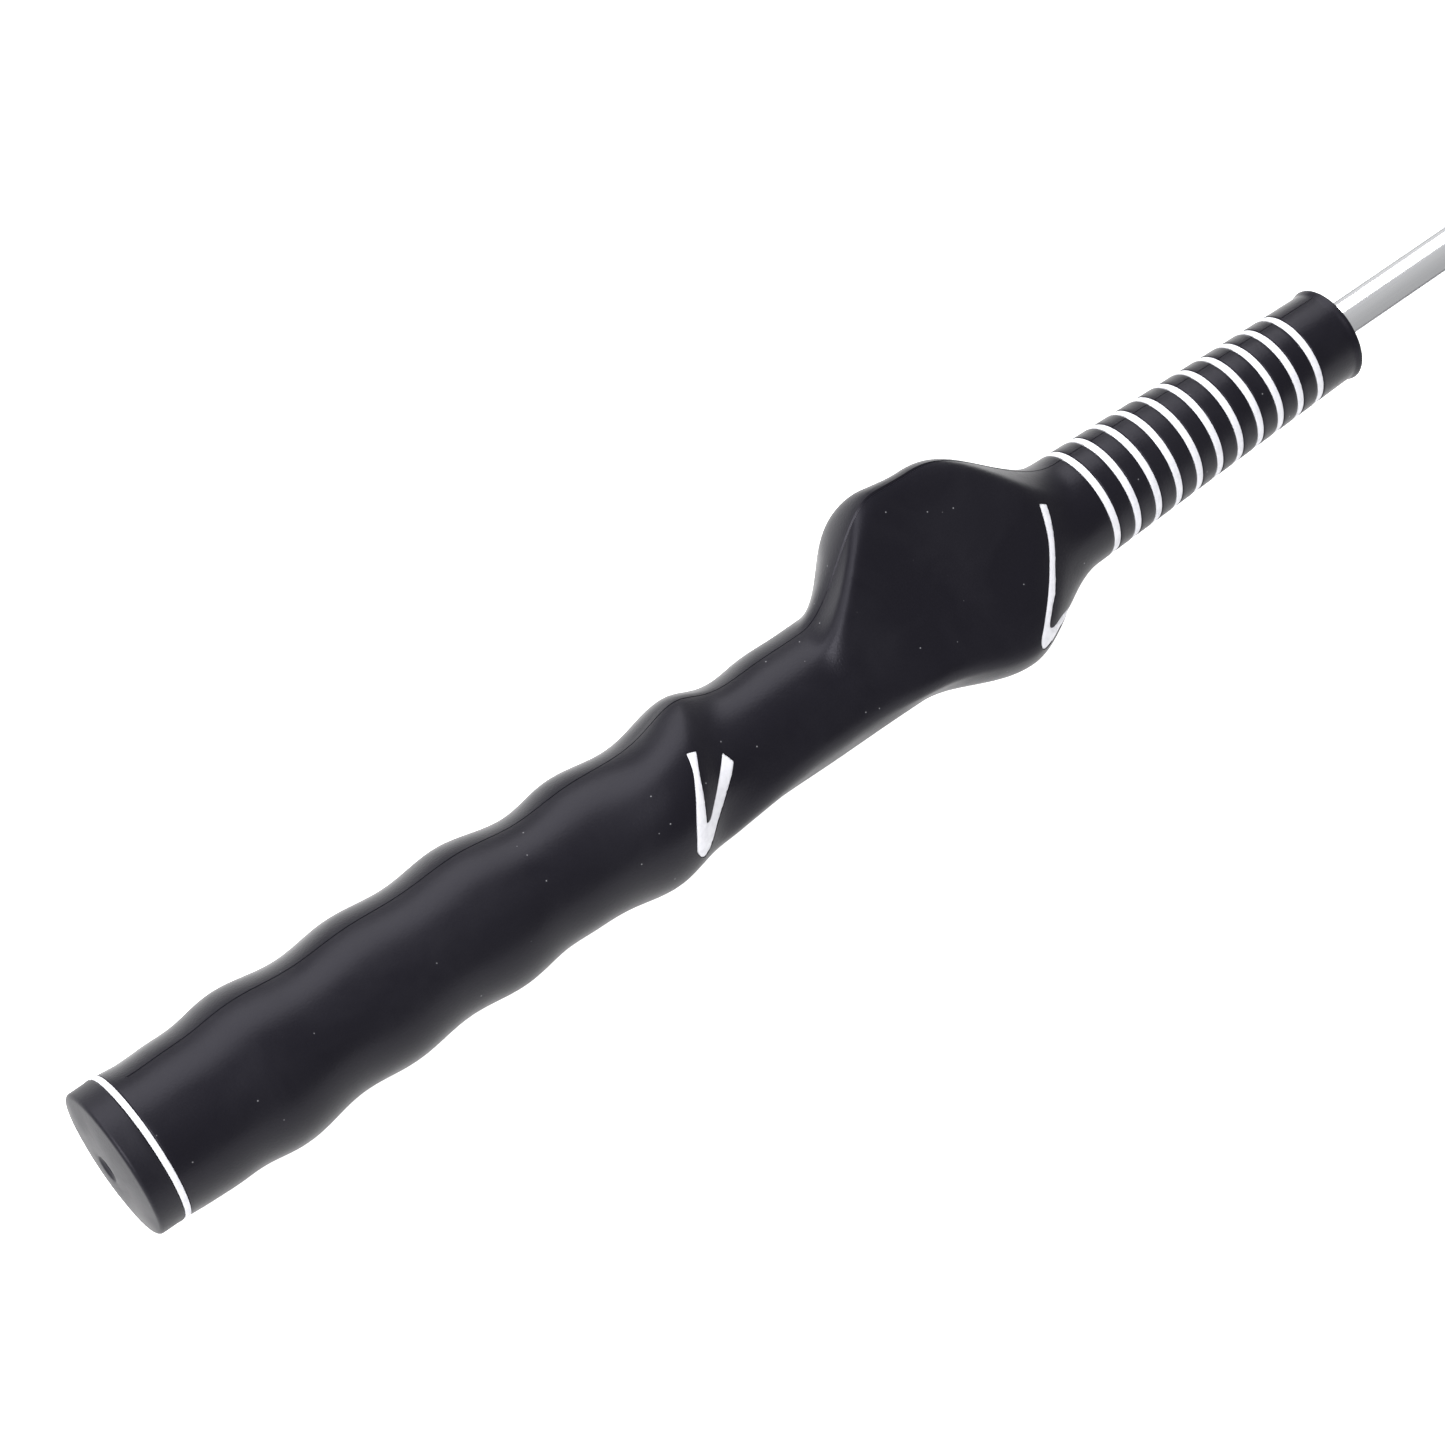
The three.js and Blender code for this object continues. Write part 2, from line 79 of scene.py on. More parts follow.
def span(node, axis=0):
    """Lowest and highest place of a node along an axis, in metres."""
    lowest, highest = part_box(node)
    return lowest[axis], highest[axis]


def centre_of(node, axis):
    """Middle place of a node along an axis, in metres."""
    return sum(span(node, axis)) / 2


axis_y = centre_of("shaft", 1)
axis_z = centre_of("shaft", 2)
zero_x = centre_of("butt_line", 0)


def along_span(node):
    """Where a node starts and ends along the stick, in millimetres from the butt line."""
    start, end = span(node)
    return (start - zero_x) / MM, (end - zero_x) / MM


def girth(node):
    """A turned node's outer radius, in millimetres."""
    low, high = span(node, 2)
    return (high - low) / 2 / MM


neck_nodes = sorted(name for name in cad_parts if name.startswith("neck_line_"))
neck_places = [sum(along_span(name)) / 2 for name in neck_nodes]
neck_pitch = (neck_places[-1] - neck_places[0]) / (len(neck_places) - 1)
mouth = along_span("grip_body")[1]
print(len(neck_nodes), "neck lines", round(neck_pitch, 2), "mm apart; the mouth is at", round(mouth, 1))

# %% [markdown]
# ## Camera
#
# The stick is seen from in front of its butt end and well above, close enough that the shaft runs
# out of the picture. A long lens of 100 mm keeps the grip nearly free of perspective. The camera
# comes first, so that every later step can be looked at from the place that matters.

# %% Place the camera
CAMERA_OFFSET = (-107.2, -289.7, 608.7)
CAMERA_TILT = 31.75
CAMERA_SWING = -38.72
LENS = 100.0
SENSOR_WIDTH = 36.0
CLIP_START = 0.01

camera_data = bpy.data.cameras.new("camera")
camera_data.lens = LENS
camera_data.sensor_width = SENSOR_WIDTH
camera_data.clip_start = CLIP_START
camera = bpy.data.objects.new("camera", camera_data)
camera.location = Vector((zero_x, axis_y, axis_z)) + MM * Vector(CAMERA_OFFSET)
camera.rotation_euler = (math.radians(CAMERA_TILT), 0.0, math.radians(CAMERA_SWING))
bpy.context.scene.collection.objects.link(camera)
bpy.context.scene.camera = camera
print("camera at", [round(c, 3) for c in camera.location])

# %% [markdown]
# ## Arithmetic that nodes can do
#
# The grip's shape follows one rule: a radius for each distance along the stick and each turn round
# it. Geometry Nodes can work that rule out at every point, but a hundred hand-placed Math nodes
# would be hard to read. `Field` lets the rule be written as ordinary arithmetic: each plus or
# minus adds one Math node. The same functions also take plain NumPy numbers.

# %% A value at every point, written as arithmetic


def math_node(operation, *values):
    """Adds a Math node to the tree that the fields among the values belong to."""
    tree = next(value.tree for value in values if isinstance(value, Field))
    node = tree.nodes.new("ShaderNodeMath")
    node.operation = operation
    for socket, value in zip(node.inputs, values):
        if isinstance(value, Field):
            tree.links.new(value.socket, socket)
        else:
            socket.default_value = float(value)
    return Field(tree, node.outputs[0])


class Field:
    """A number at every point of a Geometry Nodes mesh."""

    __array_ufunc__ = None

    def __init__(self, tree, socket):
        self.tree = tree
        self.socket = socket

    def __add__(self, other):
        return math_node("ADD", self, other)

    __radd__ = __add__

    def __sub__(self, other):
        return math_node("SUBTRACT", self, other)

    def __rsub__(self, other):
        return math_node("SUBTRACT", other, self)

    def __mul__(self, other):
        return math_node("MULTIPLY", self, other)

    __rmul__ = __mul__

    def __truediv__(self, other):
        return math_node("DIVIDE", self, other)

    def __rtruediv__(self, other):
        return math_node("DIVIDE", other, self)

    def __neg__(self):
        return math_node("MULTIPLY", self, -1.0)


def either(operation, numpy_rule):
    """A function that adds a Math node for fields and uses NumPy for plain numbers."""

    def apply(*values):
        if any(isinstance(value, Field) for value in values):
            return math_node(operation, *values)
        return numpy_rule(*values)

    return apply


smaller = either("MINIMUM", np.minimum)
larger = either("MAXIMUM", np.maximum)
size_of = either("ABSOLUTE", np.abs)
power = either("POWER", np.power)
exponent = either("EXPONENT", np.exp)
sine = either("SINE", np.sin)
cosine = either("COSINE", np.cos)
angle_to = either("ARCTAN2", np.arctan2)
root = either("SQRT", np.sqrt)
remainder = either("FLOORED_MODULO", np.mod)
exceeds = either("GREATER_THAN", lambda a, b: np.asarray(a > b, float))

DEGREE = math.pi / 180.0
print("the remainder of 370 degrees in a whole turn is", remainder(370.0, 360.0))

# %% Steps, bumps and blends that shapes are made of


def clamped(value):
    """The value kept between 0 and 1."""
    return smaller(larger(value, 0.0), 1.0)


def smooth(start, end, value):
    """Rises smoothly from 0 at start to 1 at end."""
    share = clamped((value - start) / (end - start))
    return share * share * (3.0 - 2.0 * share)


def bump(distance, spread, sharpness=2.0):
    """A bump of height 1 at 0; a sharpness of 2 is a bell, and 4 has a flatter top."""
    return exponent(-power(size_of(distance / spread), sharpness))


def turn_from(centre, turn):
    """The angle from centre to turn, between -180 and 180 degrees."""
    return remainder(turn - centre + 180.0, 360.0) - 180.0


def mixed(first, second, share):
    """A value that goes from the first to the second as the share goes from 0 to 1."""
    return first + share * (second - first)


def soft_smaller(first, second, rounding):
    """The smaller of two values, with the corner between them rounded."""
    share = clamped(0.5 + 0.5 * (second - first) / rounding)
    return mixed(second, first, share) - rounding * share * (1.0 - share)


print("a smooth step is half way up at its middle:", smooth(0.0, 2.0, 1.0))

# %% [markdown]
# ## The rule of the grip
#
# A mould maker would cut this grip as a plain tapered handle with features added to it: finger
# waves round the back, a ridge that crosses the front on a slant, a fin that fills the palm, a
# lobe under the fingers, and two flats, one for the thumb and one that the grip rests on. Each
# feature is a step or a bump in distance and turn, so each gets one short function.

# %% The plain handle
HANDLE_LENGTH = 204.0
NECK_RADIUS = 11.05
MOUTH_RADIUS = 9.15
LEAN_TURN = -116.0
SEAM_TURN = 26.0
LIP_HEIGHT = 0.45
LIP_LENGTH = 1.7
LIP_CREST = 0.3

# Radius of the plain handle, and how far it leans towards LEAN_TURN, at places along it.
CORE_OUTLINE = [
    (-8, 14.1), (0, 14.1), (5, 14.05), (12, 14.3), (24, 14.7), (38, 14.05), (50, 13.9), (70, 13.8),
    (84, 13), (95, 12.9), (130, 12.3), (150, 12.3), (175, 12), (190, 11.5), (204, 11.05),
]
LEAN_OUTLINE = [
    (-8, 0), (0, 0.05), (5, 0.4), (24, 0.35), (60, 0.27), (71, 0.4), (84, 0.85), (95, 0.8),
    (120, 0.6), (140, 0.95), (150, 0.9), (172, 0.4), (190, 0), (204, 0),
]


def outline_at(points, along):
    """Height of a smooth curve through the points of an outline."""
    x, y = np.array(points, float).T
    wide_x, wide_y = np.pad(x, 1, mode="edge"), np.pad(y, 1, mode="edge")
    slope = (wide_y[2:] - wide_y[:-2]) / (wide_x[2:] - wide_x[:-2])
    along = np.clip(along, x[0], x[-1])
    i = np.clip(np.searchsorted(x, along, side="right") - 1, 0, len(x) - 2)
    run = x[i + 1] - x[i]
    t = (along - x[i]) / run
    ends = (2 * t**3 - 3 * t**2 + 1) * y[i] + (3 * t**2 - 2 * t**3) * y[i + 1]
    return ends + ((t**3 - 2 * t**2 + t) * slope[i] + (t**3 - t**2) * slope[i + 1]) * run


def neck_radius(along):
    """Radius of the straight neck, which thickens to a small lip at its mouth."""
    share = (along - HANDLE_LENGTH) / (mouth - HANDLE_LENGTH)
    lip = LIP_HEIGHT * smooth(mouth - LIP_LENGTH, mouth - LIP_CREST * LIP_LENGTH, along)
    return mixed(NECK_RADIUS, MOUTH_RADIUS, share) + lip


def core_radius(along, turn):
    """Radius of the plain handle and neck, before the features."""
    leaning = outline_at(LEAN_OUTLINE, along) * np.cos(DEGREE * (turn - LEAN_TURN))
    handle = outline_at(CORE_OUTLINE, along) + leaning
    return np.where(along > HANDLE_LENGTH, neck_radius(along), handle)


print("the handle is", round(float(core_radius(24.0, 0.0)), 2), "mm in radius at its first wave")

# %% Places of the features
GRIP_SIZES = {
    "wave height": 0.55,
    "ridge height": 2.3,
    "keel height": 1.3,
    "fin height": 17.0,
    "lobe height": 7.2,
    "thumb flat distance": 12.8,
    "rest flat distance": 17.5,
}
# A feature begins at its start, is whole from full to fall, and is gone at its end.
WAVE = SimpleNamespace(pitch=23.4, first_crest=24.5, front_turn=-26.0, front_spread=55.0)
LOWER_WAVES = SimpleNamespace(start=8.0, full=20.0, fall=76.0, end=90.0)
UPPER_WAVES = SimpleNamespace(start=76.0, full=90.0, fall=128.0, end=146.0, turn=95.0, spread=75.0,
                              power=4.0, gain=1.2)
RIDGE = SimpleNamespace(low_turn=-116.0, high_turn=26.0, low_along=104.3, high_along=119.5,
                        low_spread=8.0, high_spread=6.5, furthest=120.0, head_narrower=0.22,
                        fade_turn=20.0, fade_spread=40.0)
RIDGE_FRONT = SimpleNamespace(turn=-34.0, spread=46.0, shift=1.5, broader=0.6, taller=0.3)
KEEL = SimpleNamespace(start=106.0, full=118.0, fall=142.0, end=158.0, spread=18.0,
                       low_turn=-98.0, high_turn=-75.0, low_along=112.0, high_along=138.0)
FIN = SimpleNamespace(start=147.0, full=169.5, shoulder=177.5, end=206.9, dip=0.045, dip_spread=7.0,
                      front_spread=90.0, front_power=3.0, back_spread=58.0)
FIN_BEHIND = SimpleNamespace(from_turn=5.0, to_turn=40.0, later_start=4.0, sooner_full=3.0)
FIN_AHEAD = SimpleNamespace(to_turn=36.0, sooner_start=3.0, sooner_full=5.0)
FIN_NARROWING = SimpleNamespace(spread=28.0, start=159.0, end=176.0)
LOBE = SimpleNamespace(start=160.0, crest=184.0, end=206.0, turn=-125.0, behind=95.0, ahead=52.0,
                       power=4.0)
THUMB_FLAT = SimpleNamespace(start=138.0, full=152.0, fall=203.0, end=208.0, turn=-38.6, rounding=3.0)
REST_FLAT = SimpleNamespace(start=160.0, full=172.0, fall=203.0, end=206.0, turn=180.0, rounding=0.8)
NECK_PULL = SimpleNamespace(length=5.0, turn=-50.0, spread=38.0)
LEAST_FACING = 0.05


def share_on(feature, along):
    """The share of a feature that is on at a place, between 0 and 1."""
    return smooth(feature.start, feature.full, along) * (1.0 - smooth(feature.fall, feature.end, along))


print("the thumb flat is", THUMB_FLAT.fall - THUMB_FLAT.full, "mm long between its slopes")

# %% The rule, feature by feature


def size_namespace(values):
    """The named sizes as attributes, with underlines for their spaces."""
    return SimpleNamespace(**{name.replace(" ", "_"): value for name, value in values.items()})


def wave_height(along, turn, size):
    """Finger waves run round the back of the handle and fade towards the front."""
    beside_front = 1.0 - bump(turn_from(WAVE.front_turn, turn), WAVE.front_spread)
    behind = bump(turn_from(UPPER_WAVES.turn, turn), UPPER_WAVES.spread, UPPER_WAVES.power)
    lower_hand = share_on(LOWER_WAVES, along) * beside_front
    upper_hand = share_on(UPPER_WAVES, along) * behind
    phase = 2.0 * math.pi * (along - WAVE.first_crest) / WAVE.pitch
    return size.wave_height * cosine(phase) * (lower_hand + UPPER_WAVES.gain * upper_hand)


def ridge_height(along, turn, size):
    """A ridge crosses the front of the handle on a slant, under the lower V mark."""
    share = (turn_from(0.0, turn) - RIDGE.low_turn) / (RIDGE.high_turn - RIDGE.low_turn)
    front = bump(turn_from(RIDGE_FRONT.turn, turn), RIDGE_FRONT.spread)
    slant = mixed(RIDGE.low_along, RIDGE.high_along, share)
    crest = smaller(slant, RIDGE.furthest) - RIDGE_FRONT.shift * front
    spread = mixed(RIDGE.low_spread, RIDGE.high_spread, clamped(share))
    past = larger(turn_from(RIDGE.fade_turn, turn), 0.0)
    below = larger(-turn_from(RIDGE.low_turn, turn), 0.0)
    head_side = 1.0 - RIDGE.head_narrower * exceeds(along, crest)
    butt_side = 1.0 + RIDGE_FRONT.broader * front * exceeds(crest, along)
    height = size.ridge_height * (1.0 + RIDGE_FRONT.taller * front)
    faded = height * bump(past, RIDGE.fade_spread) * bump(below, RIDGE.fade_spread)
    return faded * bump(along - crest, spread * head_side * butt_side)


def keel_height(along, turn, size):
    """A soft edge runs along the lower front of the waist."""
    edge = mixed(KEEL.low_turn, KEEL.high_turn, smooth(KEEL.low_along, KEEL.high_along, along))
    return size.keel_height * share_on(KEEL, along) * bump(turn_from(edge, turn), KEEL.spread)


def fin_height(along, turn, size, pull):
    """The fin fills the upper palm, and is highest along the mould seam."""
    away = turn_from(SEAM_TURN, turn)
    behind = smooth(FIN_BEHIND.from_turn, FIN_BEHIND.to_turn, away)
    ahead = smooth(0.0, FIN_AHEAD.to_turn, -away)
    start = FIN.start + FIN_BEHIND.later_start * behind - FIN_AHEAD.sooner_start * ahead
    full = FIN.full - FIN_BEHIND.sooner_full * behind - FIN_AHEAD.sooner_full * ahead
    rise = smooth(start, full, along)
    fall = 1.0 - smooth(FIN.shoulder - pull, FIN.end - pull, along)
    dip = 1.0 - FIN.dip * bump(along - FIN.shoulder, FIN.dip_spread)
    narrower = FIN_NARROWING.spread * smooth(FIN_NARROWING.start, FIN_NARROWING.end, along)
    back = bump(away, FIN.back_spread - narrower)
    front = bump(away, FIN.front_spread, FIN.front_power)
    return size.fin_height * rise * (fall * dip) * mixed(front, back, exceeds(away, 0.0))


def lobe_height(along, turn, size, pull):
    """The lobe lies under the upper hand's fingers."""
    away = turn_from(LOBE.turn, turn)
    fall = 1.0 - smooth(LOBE.crest - pull, LOBE.end - pull, along)
    length = smooth(LOBE.start, LOBE.crest, along) * fall
    spread = mixed(LOBE.behind, LOBE.ahead, exceeds(away, 0.0))
    return size.lobe_height * length * bump(away, spread, LOBE.power)


def cut_by_flat(radius, along, turn, flat, distance):
    """Radius after a flat is cut across the handle."""
    facing = cosine(DEGREE * turn_from(flat.turn, turn))
    plane = distance / larger(facing, LEAST_FACING)
    return mixed(radius, soft_smaller(radius, plane, flat.rounding), share_on(flat, along))


def handle_radius(core, along, turn, size):
    """Radius of the finished handle."""
    pull = NECK_PULL.length * bump(turn_from(NECK_PULL.turn, turn), NECK_PULL.spread)
    full = core + wave_height(along, turn, size) + ridge_height(along, turn, size)
    full = full + keel_height(along, turn, size) + fin_height(along, turn, size, pull)
    full = full + lobe_height(along, turn, size, pull)
    thumbed = cut_by_flat(full, along, turn, THUMB_FLAT, size.thumb_flat_distance)
    return cut_by_flat(thumbed, along, turn, REST_FLAT, size.rest_flat_distance)


fin_core = outline_at(CORE_OUTLINE, FIN.shoulder)
fin_top = handle_radius(fin_core, FIN.shoulder, SEAM_TURN, size_namespace(GRIP_SIZES))
print("the fin reaches", round(float(fin_top), 1), "mm from the axis")

# %% [markdown]
# ## Meshes from rings
#
# Nearly every piece is a tube or a turned shape, so one helper joins rings of points into a closed
# skin with its faces outwards. A turned piece then needs only its profile.

# %% Helpers that make meshes


def placed(along, turn, radius):
    """Points in the row frame, in metres, from a distance, a turn and a radius."""
    angle = np.radians(turn)
    x = zero_x + MM * np.asarray(along, float)
    return np.stack(np.broadcast_arrays(
        x, axis_y + MM * radius * np.sin(angle), axis_z + MM * radius * np.cos(angle)), axis=-1)


def new_piece(name, points, faces):
    """An object with a mesh of these points and faces."""
    mesh = bpy.data.meshes.new(name)
    mesh.from_pydata([tuple(point) for point in points], [], faces)
    mesh.update()
    piece = bpy.data.objects.new(name, mesh)
    bpy.context.scene.collection.objects.link(piece)
    return piece


def ring_faces(rows, columns):
    """Faces of a closed tube: each ring joins the next, and the last ring joins the first."""
    faces = []
    for j in range(rows):
        this, following = j * columns, ((j + 1) % rows) * columns
        for i in range(columns):
            k = (i + 1) % columns
            faces.append((this + i, following + i, following + k, this + k))
    return faces


def tube_piece(name, along, turns, radius):
    """A closed tube from a table of radii, one row for each ring and one column for each turn."""
    points = placed(along[:, None], turns[None, :], radius)
    return new_piece(name, points.reshape(-1, 3), ring_faces(len(along), len(turns)))


def turned_piece(name, profile, columns=144):
    """A piece turned about the stick's axis, from points (along, radius) of a closed profile."""
    along, radius = np.array(profile, float).T
    turns = SEAM_TURN + np.arange(columns) * 360.0 / columns
    piece = tube_piece(name, along, turns, np.repeat(radius[:, None], columns, axis=1))
    work = bmesh.new()
    work.from_mesh(piece.data)
    bmesh.ops.remove_doubles(work, verts=work.verts, dist=1e-7)
    bmesh.ops.recalc_face_normals(work, faces=work.faces)
    work.to_mesh(piece.data)
    work.free()
    return piece


def arc(centre, size, start, end, steps=6):
    """Points of an arc in a profile, from start to end degrees; 0 is towards the head, 90 outwards."""
    angles = np.radians(np.linspace(start, end, steps + 1))
    return [(centre[0] + size * math.cos(a), centre[1] + size * math.sin(a)) for a in angles]


def soften(piece, angle=35.0):
    """Smooth shading, with the edges that turn more than the angle left crisp."""
    piece.data.shade_smooth()
    piece.data.set_sharp_from_angle(angle=math.radians(angle))


def plain_mesh(piece):
    """Turns what a piece's modifiers make into its own plain mesh."""
    bpy.context.view_layer.update()
    evaluated = piece.evaluated_get(bpy.context.evaluated_depsgraph_get())
    mesh = bpy.data.meshes.new_from_object(evaluated)
    piece.modifiers.clear()
    piece.data = mesh
    return piece


def finish_piece(piece, body, slot, *nodes):
    """Says what a piece moves with and which CAD nodes it stands for; the slot is not used."""
    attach(piece, body)
    if nodes:
        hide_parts(*nodes)
    triangles = sum(len(polygon.vertices) - 2 for polygon in piece.data.polygons)
    print(piece.name, "has", triangles, "triangles")


print("a quarter arc of radius 1 ends at", [round(c, 2) for c in arc((0, 0), 1.0, 0, 90)[-1]])

# %% [markdown]
# ## Finishes
#
# Effects that several finishes share are node groups: the grain that a mould leaves on rubber,
# dust that settles on it, smudges from hands, and fine lines left by polishing or turning. Each
# group gives a mask or a height that changes over the surface, and each material uses it at its
# own strength. Everything reads Object coordinates, so a pattern stays put on its piece.

# %% Helpers for node trees


def input_node(tree, **sockets):
    """Adds named number inputs to a group and returns its Group Input node."""
    for name, value in sockets.items():
        socket = tree.interface.new_socket(
            name=name.replace("_", " ").capitalize(), in_out="INPUT", socket_type="NodeSocketFloat")
        socket.default_value = value
    return tree.nodes.new("NodeGroupInput")


def shader_group(name, outputs, **inputs):
    """A shader node group with named number inputs and outputs, and its two end nodes."""
    tree = bpy.data.node_groups.new(name, "ShaderNodeTree")
    for output in outputs:
        tree.interface.new_socket(name=output, in_out="OUTPUT", socket_type="NodeSocketFloat")
    source = input_node(tree, **inputs)
    return tree, source, tree.nodes.new("NodeGroupOutput")


def add_node(tree, kind, links=(), **settings):
    """A node with its properties set and its inputs linked or given values."""
    node = tree.nodes.new(kind)
    for name, value in settings.items():
        setattr(node, name, value)
    for name, value in dict(links).items():
        if isinstance(value, bpy.types.NodeSocket):
            tree.links.new(value, node.inputs[name])
        else:
            node.inputs[name].default_value = value
    return node


def object_points(tree):
    """Coordinates that stay put on a piece."""
    return tree.nodes.new("ShaderNodeTexCoord").outputs["Object"]


def ramp(tree, value, low, high):
    """0 where a value is under low and 1 where it is over high."""
    node = add_node(tree, "ShaderNodeMapRange", {"Value": value, "From Min": low, "From Max": high})
    return node.outputs["Result"]


def shader_math(tree, operation, first, second):
    """The result of a Math node in a shader tree."""
    node = add_node(tree, "ShaderNodeMath", {0: first, 1: second}, operation=operation)
    return node.outputs[0]


# %% The shared effects
SLOW_SHARE = 0.06
SPECK_CORE = 0.4
SMUDGE_FROM = 0.42
SMUDGE_TO = 0.66


def make_grain():
    """Fine pebbled grain, and a slower unevenness under it."""
    tree, source, out = shader_group("moulded grain", ["Height"], grain_size=0.0005, unevenness=0.3)
    points = object_points(tree)
    frequency = shader_math(tree, "DIVIDE", 1.0, source.outputs["Grain size"])
    fine = add_node(tree, "ShaderNodeTexNoise",
                    {"Vector": points, "Scale": frequency, "Detail": 2.0, "Roughness": 0.6})
    slow_scale = shader_math(tree, "MULTIPLY", frequency, SLOW_SHARE)
    slow = add_node(tree, "ShaderNodeTexNoise", {"Vector": points, "Scale": slow_scale, "Detail": 3.0})
    lifted = shader_math(tree, "MULTIPLY", slow.outputs["Fac"], source.outputs["Unevenness"])
    height = shader_math(tree, "ADD", fine.outputs["Fac"], lifted)
    tree.links.new(height, out.inputs["Height"])
    return tree


def make_dust():
    """Sparse specks of dust: a few of the cells of a grid hold a small round speck."""
    tree, source, out = shader_group("dust", ["Specks"], spacing=0.002, amount=0.25, speck=0.12)
    points = object_points(tree)
    frequency = shader_math(tree, "DIVIDE", 1.0, source.outputs["Spacing"])
    cells = add_node(tree, "ShaderNodeTexVoronoi", {"Vector": points, "Scale": frequency})
    speck_end = shader_math(tree, "MULTIPLY", source.outputs["Speck"], SPECK_CORE)
    near = add_node(tree, "ShaderNodeMapRange", {
        "Value": cells.outputs["Distance"], "From Min": source.outputs["Speck"],
        "From Max": speck_end}).outputs["Result"]
    chance = add_node(tree, "ShaderNodeSeparateColor", {"Color": cells.outputs["Color"]}).outputs["Red"]
    chosen = shader_math(tree, "LESS_THAN", chance, source.outputs["Amount"])
    specks = shader_math(tree, "MULTIPLY", near, chosen)
    tree.links.new(specks, out.inputs["Specks"])
    return tree


def make_smudges():
    """Broad, cloudy marks that hands leave."""
    tree, source, out = shader_group("smudges", ["Mask"], mark_size=0.02)
    frequency = shader_math(tree, "DIVIDE", 1.0, source.outputs["Mark size"])
    cloud = add_node(tree, "ShaderNodeTexNoise", {
        "Vector": object_points(tree), "Scale": frequency, "Detail": 4.0, "Roughness": 0.55,
        "Distortion": 0.4})
    tree.links.new(ramp(tree, cloud.outputs["Fac"], SMUDGE_FROM, SMUDGE_TO), out.inputs["Mask"])
    return tree


def make_lines():
    """Fine lines, drawn out along the stick by polishing or round it by turning."""
    tree, source, out = shader_group("fine lines", ["Mask"], stretch_along=1.0, stretch_round=40.0)
    scale = add_node(tree, "ShaderNodeCombineXYZ", {
        "X": source.outputs["Stretch along"], "Y": source.outputs["Stretch round"],
        "Z": source.outputs["Stretch round"]})
    stretched = add_node(tree, "ShaderNodeVectorMath", {
        0: object_points(tree), 1: scale.outputs["Vector"]}, operation="MULTIPLY")
    lines = add_node(tree, "ShaderNodeTexNoise", {
        "Vector": stretched.outputs["Vector"], "Scale": 100.0, "Detail": 3.0, "Roughness": 0.65})
    tree.links.new(lines.outputs["Fac"], out.inputs["Mask"])
    return tree


EFFECTS = {"grain": make_grain(), "dust": make_dust(), "smudges": make_smudges(), "lines": make_lines()}
print("shared effects:", ", ".join(EFFECTS))

# %% The materials


def effect(tree, name, output, **values):
    """Places a shared effect in a material, with values of its own."""
    node = tree.nodes.new("ShaderNodeGroup")
    node.node_tree = EFFECTS[name]
    for socket, value in values.items():
        node.inputs[socket.replace("_", " ").capitalize()].default_value = value
    return node.outputs[output]


def new_material(name, **constants):
    """A material with a Principled BSDF whose plain values are set on its own sockets."""
    material = bpy.data.materials.new(name)
    material.use_nodes = True
    shader = material.node_tree.nodes["Principled BSDF"]
    for socket, value in constants.items():
        shader.inputs[socket.replace("_", " ")].default_value = value
    return material, material.node_tree, shader


def colour_between(tree, mask, first, second):
    """A colour that goes from the first to the second as the mask goes from 0 to 1."""
    node = add_node(tree, "ShaderNodeMix", data_type="RGBA")
    colour_inputs = [socket for socket in node.inputs if socket.type == "RGBA"]
    for socket, value in zip(colour_inputs, (first, second)):
        if isinstance(value, bpy.types.NodeSocket):
            tree.links.new(value, socket)
        else:
            socket.default_value = (*value, 1.0)
    tree.links.new(mask, node.inputs[0])
    return next(socket for socket in node.outputs if socket.type == "RGBA")


def number_between(tree, mask, low, high):
    """A number that goes from low to high as the mask goes from 0 to 1."""
    node = add_node(tree, "ShaderNodeMapRange", {"Value": mask, "To Min": low, "To Max": high})
    return node.outputs["Result"]


def bumped(tree, shader, height, strength, distance):
    """Feeds a height to the shader's Normal; the distance is in metres."""
    node = add_node(tree, "ShaderNodeBump", {"Height": height, "Strength": strength, "Distance": distance})
    tree.links.new(node.outputs["Normal"], shader.inputs["Normal"])


def make_rubber(name, dark, worn, roughness, grain_size):
    """Moulded rubber: nearly black, slightly cool, with grain, smudges and dust."""
    material, tree, shader = new_material(
        name, Specular_IOR_Level=0.12, Specular_Tint=(0.90, 0.88, 1.0, 1.0))
    smudges = effect(tree, "smudges", "Mask", mark_size=0.016)
    dust = effect(tree, "dust", "Specks", spacing=0.0024, amount=0.22, speck=0.07)
    rubbed = colour_between(tree, smudges, dark, worn)
    dusty = colour_between(tree, dust, rubbed, (0.16, 0.16, 0.17))
    tree.links.new(dusty, shader.inputs["Base Color"])
    tree.links.new(number_between(tree, smudges, *roughness), shader.inputs["Roughness"])
    grain = effect(tree, "grain", "Height", grain_size=grain_size)
    bumped(tree, shader, grain, strength=0.6, distance=0.00005)
    return material


def make_paint():
    """Thick white paint in a groove, a little uneven, with a cool tint."""
    material, tree, shader = new_material("guide line paint", Specular_IOR_Level=0.4)
    smudges = effect(tree, "smudges", "Mask", mark_size=0.0012)
    colour = colour_between(tree, smudges, (0.48, 0.48, 0.51), (0.43, 0.43, 0.46))
    tree.links.new(colour, shader.inputs["Base Color"])
    tree.links.new(number_between(tree, smudges, 0.38, 0.55), shader.inputs["Roughness"])
    grain = effect(tree, "grain", "Height", grain_size=0.0007)
    bumped(tree, shader, grain, strength=0.3, distance=0.00003)
    return material


